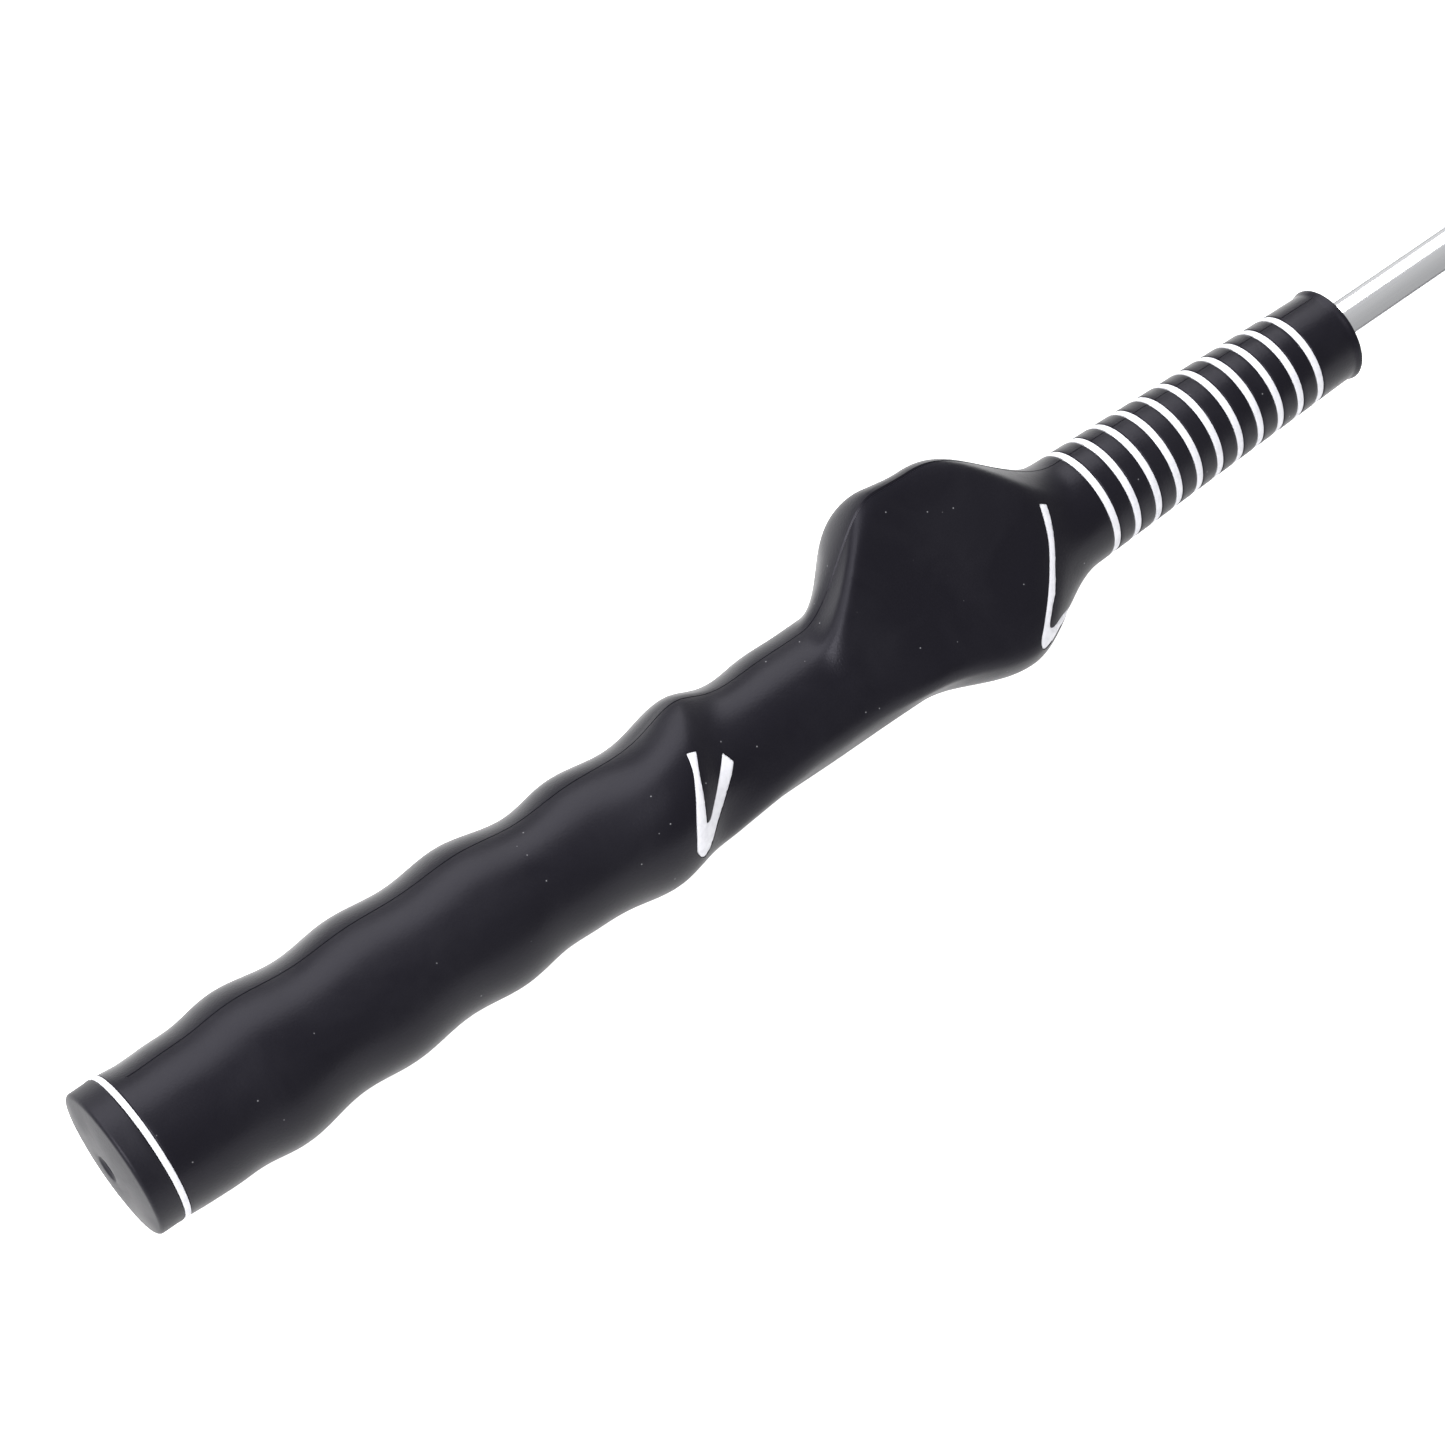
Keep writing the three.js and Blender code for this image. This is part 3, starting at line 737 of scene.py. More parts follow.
def make_chrome():
    """Satin chrome plate with faint polishing lines along the tube."""
    material, tree, shader = new_material("shaft chrome", Metallic=1.0)
    lines = effect(tree, "lines", "Mask", stretch_along=0.6, stretch_round=26.0)
    colour = colour_between(tree, lines, (0.80, 0.81, 0.84), (0.88, 0.885, 0.90))
    tree.links.new(colour, shader.inputs["Base Color"])
    tree.links.new(number_between(tree, lines, 0.08, 0.16), shader.inputs["Roughness"])
    return material


def make_steel():
    """Turned steel with fine tool marks round it."""
    material, tree, shader = new_material("turned steel", Metallic=1.0)
    lines = effect(tree, "lines", "Mask", stretch_along=30.0, stretch_round=0.8)
    colour = colour_between(tree, lines, (0.34, 0.34, 0.35), (0.50, 0.50, 0.51))
    tree.links.new(colour, shader.inputs["Base Color"])
    tree.links.new(number_between(tree, lines, 0.28, 0.48), shader.inputs["Roughness"])
    bumped(tree, shader, lines, strength=0.25, distance=0.00002)
    return material


def make_plastic(name, dark, light, roughness):
    """Black plastic with a faint mould texture and handling marks."""
    material, tree, shader = new_material(name, Specular_IOR_Level=0.2)
    smudges = effect(tree, "smudges", "Mask", mark_size=0.007)
    tree.links.new(colour_between(tree, smudges, dark, light), shader.inputs["Base Color"])
    tree.links.new(number_between(tree, smudges, *roughness), shader.inputs["Roughness"])
    grain = effect(tree, "grain", "Height", grain_size=0.0008)
    bumped(tree, shader, grain, strength=0.15, distance=0.00002)
    return material


def make_tape():
    """Cream crepe paper tape with wrinkles across it."""
    material, tree, shader = new_material("grip tape paper", Specular_IOR_Level=0.2, Roughness=0.9)
    lines = effect(tree, "lines", "Mask", stretch_along=16.0, stretch_round=3.0)
    colour = colour_between(tree, lines, (0.50, 0.45, 0.33), (0.66, 0.61, 0.48))
    tree.links.new(colour, shader.inputs["Base Color"])
    bumped(tree, shader, lines, strength=0.5, distance=0.0001)
    return material


MATERIALS = {
    "grip rubber": make_rubber(
        "grip rubber", dark=(0.0048, 0.0045, 0.0066), worn=(0.0062, 0.0059, 0.0082),
        roughness=(0.33, 0.41), grain_size=0.00045),
    "cap rubber": make_rubber(
        "cap rubber", dark=(0.0062, 0.0059, 0.0082), worn=(0.0090, 0.0088, 0.0112),
        roughness=(0.42, 0.52), grain_size=0.00055),
    "paint": make_paint(),
    "chrome": make_chrome(),
    "steel": make_steel(),
    "ferrule plastic": make_plastic(
        "ferrule plastic", dark=(0.008, 0.008, 0.009), light=(0.014, 0.014, 0.015),
        roughness=(0.40, 0.54)),
    "nose plastic": make_plastic(
        "nose plastic", dark=(0.014, 0.014, 0.015), light=(0.020, 0.020, 0.022),
        roughness=(0.42, 0.56)),
    "tape": make_tape(),
}


def paint_with(piece, material):
    """Gives a piece one material."""
    piece.data.materials.clear()
    piece.data.materials.append(MATERIALS[material])


print("materials:", ", ".join(MATERIALS))

# %% [markdown]
# ## Geometry Nodes trees with named sizes
#
# A tree is built by a function, and its sizes are named inputs on the modifier. A modifier keeps
# its values under each socket's identifier, so one helper finds the identifiers and sets them all
# before the object is looked at for the first time.

# %% Helpers for Geometry Nodes


def geometry_tree(name, sizes):
    """A tree with a geometry input and output, named number inputs, and its Group Input node."""
    tree = bpy.data.node_groups.new(name, "GeometryNodeTree")
    tree.interface.new_socket(name="Geometry", in_out="INPUT", socket_type="NodeSocketGeometry")
    tree.interface.new_socket(name="Geometry", in_out="OUTPUT", socket_type="NodeSocketGeometry")
    for size, value in sizes.items():
        socket = tree.interface.new_socket(name=size, in_out="INPUT", socket_type="NodeSocketFloat")
        socket.default_value = value
    source = tree.nodes.new("NodeGroupInput")
    fields = {size: Field(tree, source.outputs[size]) for size in sizes}
    return tree, source.outputs["Geometry"], size_namespace(fields)


def point_value(tree, name):
    """A number stored on the mesh's points."""
    node = add_node(tree, "GeometryNodeInputNamedAttribute", {"Name": name}, data_type="FLOAT")
    return Field(tree, node.outputs["Attribute"])


def point_place(tree):
    """The three coordinates of a point, as fields."""
    position = tree.nodes.new("GeometryNodeInputPosition").outputs["Position"]
    split = add_node(tree, "ShaderNodeSeparateXYZ", {"Vector": position})
    return [Field(tree, split.outputs[axis]) for axis in "XYZ"]


def joined_place(tree, x, y, z):
    """A point's place, put together from three fields."""
    node = add_node(tree, "ShaderNodeCombineXYZ", {"X": x.socket, "Y": y.socket, "Z": z.socket})
    return node.outputs["Vector"]


def end_tree(tree, geometry, place, material):
    """Moves the points, then ends the tree in Realize Instances and Set Material."""
    moved = add_node(tree, "GeometryNodeSetPosition", {"Geometry": geometry, "Position": place})
    real = add_node(tree, "GeometryNodeRealizeInstances", {"Geometry": moved.outputs["Geometry"]})
    painted = add_node(tree, "GeometryNodeSetMaterial", {
        "Geometry": real.outputs["Geometry"], "Material": MATERIALS[material]})
    out = tree.nodes.new("NodeGroupOutput")
    tree.links.new(painted.outputs["Geometry"], out.inputs["Geometry"])


def apply_tree(piece, tree, sizes):
    """Runs a tree on a piece with these sizes and keeps the result as a plain mesh."""
    modifier = piece.modifiers.new(tree.name, "NODES")
    modifier.node_group = tree
    identifiers = {item.name: item.identifier for item in tree.interface.items_tree
                   if item.in_out == "INPUT"}
    for size, value in sizes.items():
        modifier[identifiers[size]] = float(value)
    return plain_mesh(piece)


def store(piece, name, values):
    """Stores a number on each point of a mesh."""
    attribute = piece.data.attributes.new(name, "FLOAT", "POINT")
    attribute.data.foreach_set("value", np.asarray(values, np.float32).ravel())


# %% The two trees that follow the rule


def grip_tree():
    """Pushes the points of a plain tube out to the finished handle, where their skin value is 1."""
    tree, geometry, size = geometry_tree("grip shape", GRIP_SIZES)
    x, y, z = point_place(tree)
    along = (x - zero_x) / MM
    y, z = (y - axis_y) / MM, (z - axis_z) / MM
    turn = angle_to(y, z) / DEGREE
    radius = root(y * y + z * z)
    core = point_value(tree, "core")
    growth = (handle_radius(core, along, turn, size) - core) * point_value(tree, "skin")
    share = (radius + growth) / radius
    place = joined_place(tree, x, y * share * MM + axis_y, z * share * MM + axis_z)
    end_tree(tree, geometry, place, "grip rubber")
    return tree


def mark_tree():
    """Wraps a flat mark round the handle: X is the distance along, Y the turn and Z the height."""
    tree, geometry, size = geometry_tree("mark on the grip", GRIP_SIZES)
    along, turn, height = point_place(tree)
    radius = handle_radius(point_value(tree, "core"), along, turn, size) + height
    angle = turn * DEGREE
    place = joined_place(tree, along * MM + zero_x, radius * sine(angle) * MM + axis_y,
                         radius * cosine(angle) * MM + axis_z)
    end_tree(tree, geometry, place, "paint")
    return tree


grip_shape, mark_shape = grip_tree(), mark_tree()
print("the grip's rule takes", len(grip_shape.nodes), "nodes")

# %% [markdown]
# ## The grip
#
# The real grip is one rubber moulding on a bore for the shaft. The rubber is cut back in a groove
# for each painted line, its edges are a little round, and the mould's two halves leave a fine seam
# along it. A plain tube is made first, with its grooves, seam and bore in place, and then the tree
# pushes its skin out by the rule. Rings are closer together where an edge is round.

# %% Rings of the plain tube
LINE_DEPTH = 0.6
LINE_GAP = 0.08
EDGE_ROUNDING = 0.22
ROW_STEP = 0.8
LIP_ROW_STEP = 0.4
COLUMNS = 180
SEAM_HALF_WIDTH = 0.14
SEAM_DEPTH = 0.28
SEAM_START = 3.8
SEAM_STOP_BEFORE_MOUTH = 1.6
MOUTH_ROUNDING = 0.55
BORE_GAP = 0.1
BORE_CHAMFER = 0.3

butt_start, butt_end = along_span("butt_line")
bore_radius = girth("grip_tape") + BORE_GAP


def rounded_drop(place, depth, direction):
    """Rings of a rounded edge that drops to a groove's floor, towards the head if direction is 1."""
    rings = [(place - direction * EDGE_ROUNDING * (1 - math.sin(a)), EDGE_ROUNDING * (1 - math.cos(a)))
             for a in np.radians((0, 30, 60, 90))]
    rings.append((place, depth))
    return rings if direction > 0 else rings[::-1]


def grip_rings():
    """Every ring of the tube's skin: its distance along and how far it is cut back."""
    body_start = butt_end + LINE_GAP
    rings = [(butt_start - LINE_GAP, LINE_DEPTH)]
    rings += rounded_drop(body_start, LINE_DEPTH, -1)
    for node in neck_nodes:
        start, end = along_span(node)
        last = rings[-1][0]
        steps = max(1, round((start - last) / ROW_STEP))
        rings += [(last + (start - last) * i / steps, 0.0) for i in range(1, steps)]
        rings += rounded_drop(start - LINE_GAP, LINE_DEPTH, 1)
        rings += rounded_drop(end + LINE_GAP, LINE_DEPTH, -1)
    last, end = rings[-1][0], mouth - MOUTH_ROUNDING
    steps = round((end - last) / LIP_ROW_STEP)
    rings += [(last + (end - last) * i / steps, 0.0) for i in range(1, steps)]
    rings += [(end + MOUTH_ROUNDING * math.sin(a), MOUTH_ROUNDING * (1 - math.cos(a)))
              for a in np.radians(np.linspace(0, 90, 6))]
    return np.array(rings)


skin_rings = grip_rings()
print(len(skin_rings), "rings of skin")

# %% Build the grip


def grip_turns():
    """The columns of the tube, with two more beside each mould seam."""
    even = SEAM_TURN + np.arange(COLUMNS) * 360.0 / COLUMNS
    beside = math.degrees(SEAM_HALF_WIDTH / girth("butt_line"))
    extra = [seam + side for seam in (SEAM_TURN, SEAM_TURN + 180.0) for side in (-beside, beside)]
    return np.sort(np.concatenate([even, np.mod(np.array(extra) - SEAM_TURN, 360.0) + SEAM_TURN]))


def seam_cut(along, turns):
    """How far the mould seam is cut back, ring by ring and column by column."""
    on_seam = np.isclose(np.mod(turns - SEAM_TURN, 180.0), 0.0)
    on_body = (along > SEAM_START) & (along < mouth - SEAM_STOP_BEFORE_MOUTH)
    return SEAM_DEPTH * on_body[:, None] * on_seam[None, :]


def build_grip():
    """The grip as a plain mesh, before the grooves of its V marks are cut."""
    turns = grip_turns()
    along, cut = skin_rings.T
    core = core_radius(along[:, None], turns[None, :])
    skin = core - cut[:, None] - seam_cut(along, turns) * (cut < EDGE_ROUNDING)[:, None]
    bore_along = np.array([mouth, mouth - BORE_CHAMFER, butt_start - LINE_GAP])
    bore = np.array([bore_radius + BORE_CHAMFER, bore_radius, bore_radius])
    all_along = np.concatenate([along, bore_along])
    radius = np.concatenate([skin, np.repeat(bore[:, None], len(turns), axis=1)])
    grip = tube_piece("grip", all_along, turns, radius)
    bore_core = np.ones((len(bore), len(turns)))
    store(grip, "core", np.concatenate([core, bore_core]))
    store(grip, "skin", np.concatenate([np.ones_like(core), 0.0 * bore_core]))
    return apply_tree(grip, grip_shape, GRIP_SIZES)


grip = build_grip()
print("the grip has", len(grip.data.vertices), "points before its V marks are cut")

# %% [markdown]
# ## The V marks
#
# Two V marks show where the gap between thumb and finger goes. Each is a groove in the rubber,
# filled with white paint. A mark is drawn flat, as an outline in distance and turn, cut into small
# cells so that it can bend, thickened, and wrapped on the handle by the tree. A slightly wider
# copy is the cutter that makes its groove.

# %% Outlines of the marks
MARK_RADIUS = 14.5
# Points (distance along, turn) of each mark: down its outer edge, then back up its inner edge.
LOWER_VEE = {
    "outer": [(113.9, -15.2), (112.9, -27), (111, -40.5), (109, -55), (107.6, -70.6), (107.3, -80),
              (108.5, -88.3), (110.3, -84), (112.4, -73.5), (117, -57.5), (120, -45.4), (121.2, -39)],
    "inner": [(120.2, -28.5), (118.4, -36.9), (116.1, -46.3), (113.7, -55), (111.8, -61.5),
              (110.8, -62.5), (110.9, -59.8), (112, -47.8), (113.7, -31.5), (115.7, -17.2)],
}
UPPER_VEE = {
    "outer": [(196.7, -8.4), (195.8, -20.8), (194.7, -36), (193.1, -50.4), (191, -64.9), (188.6, -75),
              (185.9, -83.1), (183.9, -89), (184.1, -94.5), (185.8, -97.2), (189.1, -98.2), (192.4, -103.5),
              (199.2, -123)],
    "inner": [(200.9, -120.5), (194.6, -100.5), (191.2, -92), (187, -87.6), (188.9, -80.6),
              (191.6, -72.8), (194.2, -55), (195.9, -39.3), (197.3, -22.9), (198.1, -10.7)],
}


def smooth_run(points, steps=6):
    """More points on a smooth curve through these."""
    points = np.array(points, float)
    before = np.vstack([2 * points[0] - points[1], points, 2 * points[-1] - points[-2]])
    run = []
    for a, b, c, d in zip(before, before[1:], before[2:], before[3:]):
        for t in np.arange(steps) / steps:
            run.append(0.5 * (2 * b + (c - a) * t + (2 * a - 5 * b + 4 * c - d) * t**2
                              + (3 * b - a - 3 * c + d) * t**3))
    return np.array(run + [points[-1]])


def outline_of(vee, grow):
    """The closed outline, moved outwards by grow; turns are scaled to millimetres and back."""
    mm_per_degree = DEGREE * MARK_RADIUS
    loop = np.vstack([smooth_run(vee["outer"]), smooth_run(vee["inner"])]) * (1.0, mm_per_degree)
    tangent = np.roll(loop, -1, axis=0) - np.roll(loop, 1, axis=0)
    tangent /= np.linalg.norm(tangent, axis=1, keepdims=True)
    outward = np.stack([tangent[:, 1], -tangent[:, 0]], axis=1)
    area = np.sum(loop[:, 0] * np.roll(loop[:, 1], -1) - loop[:, 1] * np.roll(loop[:, 0], -1))
    return (loop + grow * math.copysign(1.0, area) * outward) / (1.0, mm_per_degree)


lower_places = [along for along, turn in LOWER_VEE["outer"]]
print("the lower V mark is", round(max(lower_places) - min(lower_places), 1), "mm long")

# %% Build the marks and cut their grooves
VEE_DEPTH = 0.7
VEE_GAP = 0.09
VEE_EDGE = 0.1
VEE_PAINT_LIFT = 0.1
CUTTER_TOP = 1.0
PAINT_BELOW = 0.06
CELL_ALONG = 0.5
CELL_TURN = 2.5


def cut_into_cells(work, low, high, step, axis):
    """Cuts a flat mesh along straight lines, so that it can bend between them."""
    normal = Vector((0, 0, 0))
    normal[axis] = 1.0
    for place in np.arange(math.ceil(low / step) * step, high, step):
        geometry = work.verts[:] + work.edges[:] + work.faces[:]
        bmesh.ops.bisect_plane(work, geom=geometry, dist=1e-5, plane_co=normal * place, plane_no=normal)


def flat_mark(name, loop, bottom, top, edge):
    """A flat plate with the outline of a mark, cut into cells and thickened from bottom to top."""
    work = bmesh.new()
    rim = [work.verts.new((x, y, top)) for x, y in loop]
    work.faces.new(rim)
    (low_x, low_y), (high_x, high_y) = loop.min(axis=0), loop.max(axis=0)
    cut_into_cells(work, low_x, high_x, CELL_ALONG, 0)
    cut_into_cells(work, low_y, high_y, CELL_TURN, 1)
    border = {vertex for e in work.edges if e.is_boundary for vertex in e.verts}
    made = bmesh.ops.extrude_face_region(work, geom=work.faces[:])
    for vertex in (item for item in made["geom"] if isinstance(item, bmesh.types.BMVert)):
        vertex.co.z = bottom
    for vertex in border:
        vertex.co.z = top - edge
    bmesh.ops.recalc_face_normals(work, faces=work.faces)
    mesh = bpy.data.meshes.new(name)
    work.to_mesh(mesh)
    work.free()
    piece = bpy.data.objects.new(name, mesh)
    bpy.context.scene.collection.objects.link(piece)
    places = np.array([vertex.co[:2] for vertex in mesh.vertices])
    store(piece, "core", core_radius(places[:, 0], places[:, 1]))
    return apply_tree(piece, mark_shape, GRIP_SIZES)


def cut_groove(grip, vee, name):
    """Cuts the groove of a mark into the grip."""
    cutter = flat_mark(name, outline_of(vee, VEE_GAP), -VEE_DEPTH, CUTTER_TOP, 0.0)
    modifier = grip.modifiers.new("groove", "BOOLEAN")
    modifier.operation = "DIFFERENCE"
    modifier.solver = "MANIFOLD"
    modifier.object = cutter
    plain_mesh(grip)
    bpy.data.objects.remove(cutter)


for vee, name in ((LOWER_VEE, "lower_vee"), (UPPER_VEE, "upper_vee")):
    mark = flat_mark(name, outline_of(vee, 0.0), -VEE_DEPTH + VEE_PAINT_LIFT, -PAINT_BELOW, VEE_EDGE)
    soften(mark, angle=50.0)
    paint_with(mark, "paint")
    finish_piece(mark, "root", "line_paint", name + "_mark")
    cut_groove(grip, vee, name + "_cutter")

soften(grip, angle=32.0)
paint_with(grip, "grip rubber")
finish_piece(grip, "root", "grip_rubber", "grip_body")

# %% [markdown]
# ## The painted lines
#
# Eleven white lines run round the neck, and one runs round the butt. Each is a ring of paint that
# fills its groove. One ring is made in mesh code, and a tree repeats it at the pitch, follows the
# neck's taper, and makes the edges a little ragged, as brushed or wiped paint is. Behind the mould
# seam the paint is a little narrower, because the two halves of the mould don't quite meet.

# %% The tree that repeats a painted ring
LINE_SIZES = {"count": 1.0, "pitch": 1.0, "taper": 0.0, "raggedness": 0.04, "seam step": 0.0}
RAGGED_SCALE = 900.0


def line_tree():
    """Repeats a ring along the stick and makes its edges ragged."""
    tree, geometry, size = geometry_tree("painted lines", LINE_SIZES)
    offset = add_node(tree, "ShaderNodeCombineXYZ", {"X": (size.pitch * MM).socket})
    places = add_node(tree, "GeometryNodeMeshLine", {
        "Count": size.count.socket, "Offset": offset.outputs["Vector"]})
    rings = add_node(tree, "GeometryNodeInstanceOnPoints", {
        "Points": places.outputs["Mesh"], "Instance": geometry})
    real = add_node(tree, "GeometryNodeRealizeInstances", {"Geometry": rings.outputs["Instances"]})
    x, y, z = point_place(tree)
    position = tree.nodes.new("GeometryNodeInputPosition").outputs["Position"]
    noise = add_node(tree, "ShaderNodeTexNoise", {
        "Vector": position, "Scale": RAGGED_SCALE, "Detail": 2.0, "Roughness": 0.6})
    edge = point_value(tree, "edge")
    ragged = (Field(tree, noise.outputs["Fac"]) - 0.5) * 2.0 * size.raggedness * edge
    y, z = y - axis_y, z - axis_z
    away = turn_from(SEAM_TURN, angle_to(y, z) / DEGREE)
    narrower = exceeds(away, 0.0) * larger(-edge, 0.0) * size.seam_step
    radius = root(y * y + z * z)
    shrink = 1.0 - size.taper * (x - point_value(tree, "home")) / radius
    place = joined_place(tree, x + (ragged + narrower) * MM, y * shrink + axis_y, z * shrink + axis_z)
    end_tree(tree, real.outputs["Geometry"], place, "paint")
    return tree


line_shape = line_tree()
print("the painted lines' rule takes", len(line_shape.nodes), "nodes")

# %% Make the lines
RING_ROUNDING = 0.14
RING_CROWN = 0.02
RING_LIFT = 0.15
BUTT_RING_PROUD = 0.1
SEAM_STEP = 0.16


def ring_section(start, end):
    """The section of a painted ring: a flat foot, rounded edges and a low crown."""
    foot = -PAINT_BELOW - LINE_DEPTH + RING_LIFT
    edge = [(RING_ROUNDING * (1 - math.sin(a)), -PAINT_BELOW - RING_ROUNDING * (1 - math.cos(a)))
            for a in np.radians((90, 60, 30, 0))]
    section = [(end, foot), (start, foot)]
    section += [(start + inset, height) for inset, height in edge]
    section += [((start + end) / 2, -PAINT_BELOW + RING_CROWN)]
    section += [(end - inset, height) for inset, height in reversed(edge)]
    return np.array(section)


def painted_ring(name, node, proud, sizes):
    """One ring of paint in the groove of a node, repeated by the tree."""
    start, end = along_span(node)
    along, height = ring_section(start, end).T
    turns = SEAM_TURN + (np.arange(COLUMNS) + 0.5) * 360.0 / COLUMNS
    floor_radius = core_radius(along[:, None], turns[None, :]) + proud
    ring = tube_piece(name, along, turns, floor_radius + height[:, None])
    side = np.clip((along - (start + end) / 2) / ((end - start) / 2), -1.0, 1.0)
    store(ring, "edge", np.repeat(side[:, None], len(turns), axis=1))
    store(ring, "home", np.repeat(zero_x + MM * along[:, None], len(turns), axis=1))
    apply_tree(ring, line_shape, sizes)
    soften(ring, angle=45.0)
    paint_with(ring, "paint")
    return ring


neck_taper = (NECK_RADIUS - MOUTH_RADIUS) / (mouth - HANDLE_LENGTH)
neck_sizes = dict(LINE_SIZES, count=len(neck_nodes), pitch=neck_pitch, taper=neck_taper)
neck_sizes["seam step"] = SEAM_STEP
neck_rings = painted_ring("neck_lines", neck_nodes[0], 0.0, neck_sizes)
finish_piece(neck_rings, "root", "line_paint", *neck_nodes)

butt_ring = painted_ring("butt_ring", "butt_line", BUTT_RING_PROUD, LINE_SIZES)
finish_piece(butt_ring, "root", "line_paint", "butt_line")

# %% [markdown]
# ## The butt cap
#
# The cap is moulded first and the grip is moulded onto it. It is a short turned piece with a flat
# side, a small rounding at its rim and a shallow dome. A vent hole in a dimple lets air out when
# the grip is pushed on the shaft. A profile turned round the axis makes it.

# %% Turn the cap
CAP_EDGE = 0.25
CAP_EDGE_PROUD = 0.08
CAP_EDGE_RUN = 1.2
CAP_ROUNDING = 0.8
CAP_CROWN = 1.0
CROWN_MARGIN = 0.4
CROWN_RINGS = 8
SPIGOT_GAP = 0.1
DIMPLE_RADIUS = 2.75
DIMPLE_ROUNDING = 0.5
DIMPLE_LIP = SimpleNamespace(centre=0.1, depth=0.02, wider=0.5, margin=1.5)
VENT_RADIUS = 1.8
VENT_DEPTH = 0.55
# The vent narrows as it goes in: depth under the end, and how much narrower it is there.
VENT_WALL = [(2.2, 0.4), (0.9, 0.2), (VENT_DEPTH, 0.0)]

cap_start, cap_end = along_span("butt_cap")
cap_radius = girth("butt_cap")
cap_face = butt_start - 2 * LINE_GAP
spigot_radius = bore_radius - SPIGOT_GAP
crown_radius = cap_radius - CAP_ROUNDING


def cap_profile():
    """The cap's section: its vent, dimple, dome, rim, side and spigot."""
    profile = [(cap_end, VENT_RADIUS - VENT_WALL[0][1])]
    profile += [(cap_start + depth, VENT_RADIUS - narrower) for depth, narrower in VENT_WALL]
    profile += arc((cap_start + VENT_DEPTH, DIMPLE_RADIUS + DIMPLE_LIP.centre), DIMPLE_ROUNDING, 235, 180, 3)
    profile += [(cap_start + DIMPLE_LIP.depth, DIMPLE_RADIUS + DIMPLE_LIP.wider)]
    crown_start, crown_end = DIMPLE_RADIUS + DIMPLE_LIP.margin, crown_radius - CROWN_MARGIN
    for radius in np.linspace(crown_start, crown_end, CROWN_RINGS):
        fall = (radius - DIMPLE_RADIUS) / (crown_radius - DIMPLE_RADIUS)
        profile.append((cap_start + CAP_CROWN * fall**2, radius))
    profile += arc((cap_start + CAP_CROWN + CAP_ROUNDING, crown_radius), CAP_ROUNDING, 168, 90, 6)
    profile += [(cap_face - CAP_EDGE_RUN, cap_radius), (cap_face - CAP_EDGE, cap_radius + CAP_EDGE_PROUD)]
    edge_centre = (cap_face - CAP_EDGE, cap_radius - CAP_EDGE + CAP_EDGE_PROUD)
    profile += arc(edge_centre, CAP_EDGE, 90, 0, 4)
    return profile + [(cap_face, spigot_radius), (cap_end, spigot_radius)]


def turn_and_finish(name, profile, slot, node, material, columns=144, angle=35.0):
    """A turned piece with its shading, its material and the CAD node that it stands for."""
    piece = turned_piece(name, profile, columns)
    soften(piece, angle)
    paint_with(piece, material)
    finish_piece(piece, "root", slot, node)


turn_and_finish("cap", cap_profile(), "cap_rubber", "butt_cap", "cap rubber", columns=180)

# %% [markdown]
# ## Shaft, ferrule and head
#
# The shaft is a chromed steel tube. At its far end a ferrule covers the joint with the head, which
# is a rubber sleeve with a round shoulder over a steel slug, closed by a plug. These are turned
# profiles too, finer than the CAD ones, with their edges rounded.

# %% Turn the shaft and the ferrule
SHAFT_WALL = 0.9
SHAFT_CHAMFER = 0.1
FERRULE_GAP = 0.1
FERRULE_LIP = 0.8
FERRULE_LIP_EDGE = 0.25
FERRULE_RIM = 2.0
FERRULE_ROUNDING = 0.4
FERRULE_RINGS = 14
FIRST_RING_SHARE = 0.05

shaft_start, shaft_end = along_span("shaft")
shaft_radius = girth("shaft")
shaft_profile = [
    (shaft_start, shaft_radius - SHAFT_WALL), (shaft_start, shaft_radius - SHAFT_CHAMFER),
    (shaft_start + SHAFT_CHAMFER, shaft_radius), (shaft_end - SHAFT_CHAMFER, shaft_radius),
    (shaft_end, shaft_radius - SHAFT_CHAMFER), (shaft_end, shaft_radius - SHAFT_WALL),
]
turn_and_finish("shaft_tube", shaft_profile, "shaft_chrome", "shaft", "chrome", angle=30.0)

ferrule_start, ferrule_end = along_span("ferrule")
ferrule_radius = girth("ferrule")
ferrule_bore = shaft_radius + FERRULE_GAP


def ferrule_profile():
    """The ferrule's section: a thin lip on the shaft that swells smoothly to its rim."""
    lip = ferrule_bore + FERRULE_LIP
    taper = ferrule_end - ferrule_start - FERRULE_RIM
    profile = [(ferrule_end, ferrule_bore), (ferrule_start, ferrule_bore),
               (ferrule_start, lip - FERRULE_LIP_EDGE), (ferrule_start + FERRULE_LIP_EDGE, lip)]
    for share in np.linspace(FIRST_RING_SHARE, 1.0, FERRULE_RINGS):
        radius = lip + (ferrule_radius - lip) * smooth(0.0, 1.0, share)
        profile.append((ferrule_start + taper * share, radius))
    rim_centre = (ferrule_end - FERRULE_ROUNDING, ferrule_radius - FERRULE_ROUNDING)
    return profile + arc(rim_centre, FERRULE_ROUNDING, 90, 0, 4)


turn_and_finish("ferrule_ring", ferrule_profile(), "ferrule_plastic", "ferrule", "ferrule plastic")

# %% Turn the head
COVER_GAP = 0.2
COVER_WALL = 3.0
COVER_SHOULDER = 9.0
COVER_SHOULDER_STEP = 0.3
COVER_INNER_TAPER = 6.0
COVER_ROUNDING = 2.2
COVER_CHAMFER = 0.3
NOSE_ROUNDING = 0.8

cover_start, cover_end = along_span("head_cover")
cover_radius = girth("head_cover")
nose_start, nose_end = along_span("head_nose")
nose_radius = girth("head_nose")
cover_bore = nose_radius + COVER_GAP
hole_radius = shaft_radius + COVER_GAP


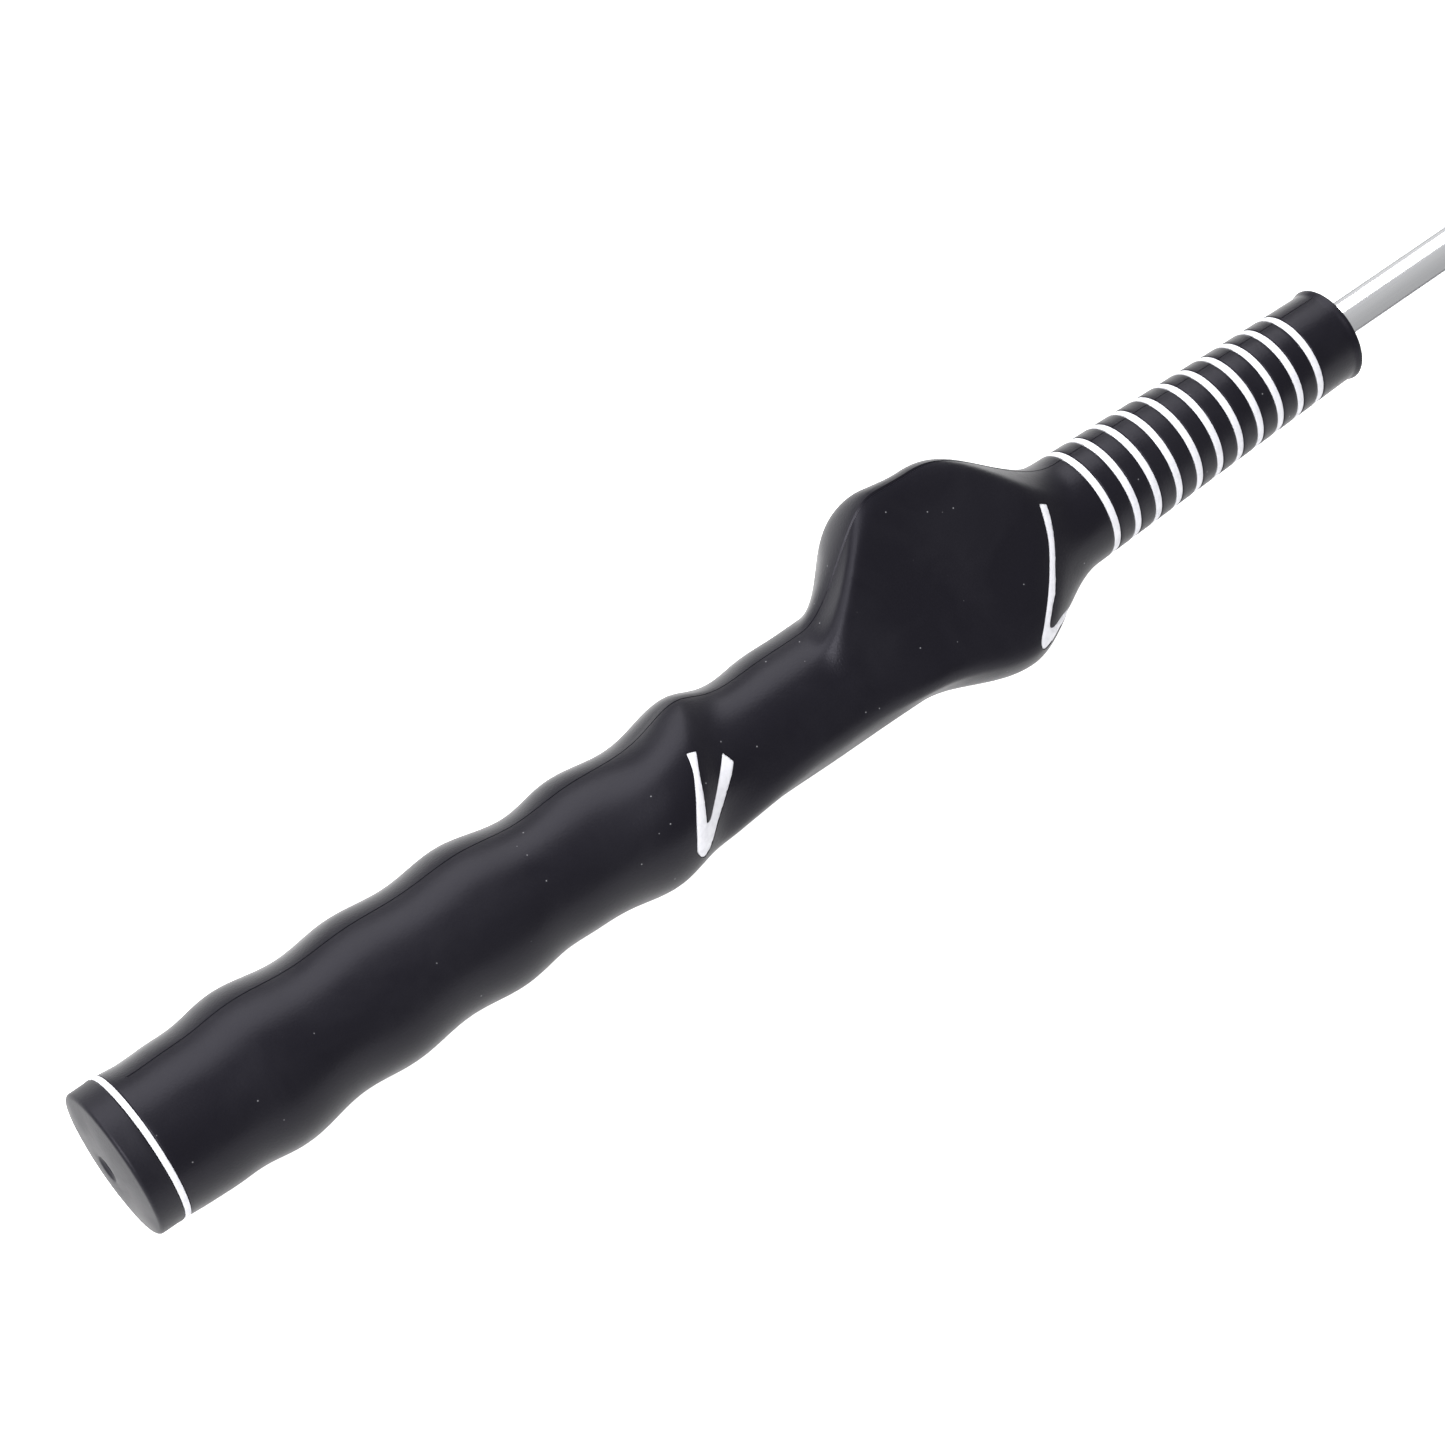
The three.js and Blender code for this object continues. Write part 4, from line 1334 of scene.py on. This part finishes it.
def cover_profile():
    """The sleeve's section: a round shoulder, a rounded far end, and a bore that tapers in."""
    shoulder = (cover_start + COVER_SHOULDER, cover_radius - COVER_SHOULDER)
    far_edge = (cover_end - COVER_ROUNDING, cover_radius - COVER_ROUNDING)
    profile = [(cover_start, hole_radius), (cover_start, shoulder[1] - COVER_SHOULDER_STEP)]
    profile += arc(shoulder, COVER_SHOULDER, 180, 90, 18) + arc(far_edge, COVER_ROUNDING, 90, 0, 8)
    profile += [(cover_end, cover_bore + COVER_CHAMFER), (cover_end - COVER_CHAMFER, cover_bore)]
    profile += [(shoulder[0], cover_bore), (cover_start + COVER_WALL, cover_bore - COVER_INNER_TAPER)]
    return profile + [(cover_start + COVER_WALL, hole_radius)]


turn_and_finish("head_sleeve", cover_profile(), "head_rubber", "head_cover", "grip rubber",
                columns=180)

nose_edge = (nose_end - NOSE_ROUNDING, nose_radius - NOSE_ROUNDING)
nose_profile = [(nose_start, 0.0), (nose_start, nose_radius)]
nose_profile += arc(nose_edge, NOSE_ROUNDING, 90, 0, 6) + [(nose_end, 0.0)]
turn_and_finish("nose_plug", nose_profile, "nose_plastic", "head_nose", "nose plastic")

# %% [markdown]
# ## Pieces inside
#
# The tape, the steel weight and its pin are hidden inside the grip and the head. Their CAD meshes
# are the right shape, so they stay as they are and only get a finish.

# %% Give the inner pieces their finish
for node, material in (("grip_tape", "tape"), ("head_weight", "steel"), ("head_pin", "steel")):
    paint_with(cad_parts[node], material)
    print(node, "is finished in", material)

# %% [markdown]
# ## Floor and light
#
# The stick lies on a plain pale floor that glows a little, so that shadows nearly vanish. One large
# softbox high behind the stick draws the bright edge along its back, and a smaller one on the butt's
# side brightens the cap and the slopes that face it. The surround is brighter behind than in front,
# and a thin, darker band of it at the horizon gives the shaft a fine line and the black a clean edge.

# %% The floor
FLOOR_SIZE = 12.0
FLOOR_GAP = 0.0001


def make_floor_material():
    """A pale floor with faint, broad clouds in its colour."""
    material, tree, shader = new_material("pale floor", Roughness=0.9, Specular_IOR_Level=0.1,
                                          Emission_Color=(1.0, 1.0, 1.0, 1.0), Emission_Strength=0.95)
    cloud = effect(tree, "smudges", "Mask", mark_size=0.5)
    colour = colour_between(tree, cloud, (0.50, 0.50, 0.50), (0.52, 0.52, 0.52))
    tree.links.new(colour, shader.inputs["Base Color"])
    return material


floor_corners = [(x * FLOOR_SIZE, y * FLOOR_SIZE, 0) for x, y in ((-1, -1), (1, -1), (1, 1), (-1, 1))]
floor = new_piece("floor", floor_corners, [(0, 1, 2, 3)])
floor.location.z = cad_box[0][2] - FLOOR_GAP
floor.data.materials.append(make_floor_material())
print("the floor is at", round(floor.location.z, 5))

# %% The softboxes
GRIP_MIDDLE = 0.14
grip_centre = Vector((zero_x + GRIP_MIDDLE, axis_y, axis_z))


def softbox(name, azimuth, elevation, distance, width, height, watts):
    """A rectangular light that faces the grip; azimuth 0 is +Y, 90 is +X."""
    light = bpy.data.lights.new(name, "AREA")
    light.shape = "RECTANGLE"
    light.size, light.size_y = width, height
    light.energy = watts
    lamp = bpy.data.objects.new(name, light)
    turn, rise = math.radians(azimuth), math.radians(elevation)
    direction = Vector((math.cos(rise) * math.sin(turn), math.cos(rise) * math.cos(turn), math.sin(rise)))
    lamp.location = grip_centre + distance * direction
    lamp.rotation_euler = direction.to_track_quat("Z", "Y").to_euler()
    bpy.context.scene.collection.objects.link(lamp)
    print(name, "is", distance, "m from the grip")


softbox("back_softbox", azimuth=0.0, elevation=52.0, distance=1.6, width=2.6, height=1.3, watts=64.0)
softbox("butt_softbox", azimuth=-110.0, elevation=48.0, distance=1.8, width=1.0, height=1.0, watts=56.0)

# %% The surround
FRONT_STRENGTH = 0.42
BACK_STRENGTH = 0.80
FRONT_END = -0.95
BACK_END = 0.9
HORIZON_SHARE = 0.15
HORIZON_TOP = 0.14

world = bpy.data.worlds.new("studio")
world.use_nodes = True
bpy.context.scene.world = world
sky = world.node_tree
sky_direction = sky.nodes.new("ShaderNodeTexCoord").outputs["Generated"]
split = add_node(sky, "ShaderNodeSeparateXYZ", {"Vector": sky_direction})
towards_back = ramp(sky, split.outputs["Y"], FRONT_END, BACK_END)
above_horizon = ramp(sky, split.outputs["Z"], 0.0, HORIZON_TOP)
near_horizon = number_between(sky, above_horizon, HORIZON_SHARE, 1.0)
even = number_between(sky, towards_back, FRONT_STRENGTH, BACK_STRENGTH)
strength = shader_math(sky, "MULTIPLY", even, near_horizon)
background = sky.nodes["Background"]
sky.links.new(strength, background.inputs["Strength"])
background.inputs["Color"].default_value = (1.0, 1.0, 1.0, 1.0)
bpy.context.scene.view_settings.view_transform = "Standard"
print("the surround goes from", FRONT_STRENGTH, "in front to", BACK_STRENGTH, "behind")
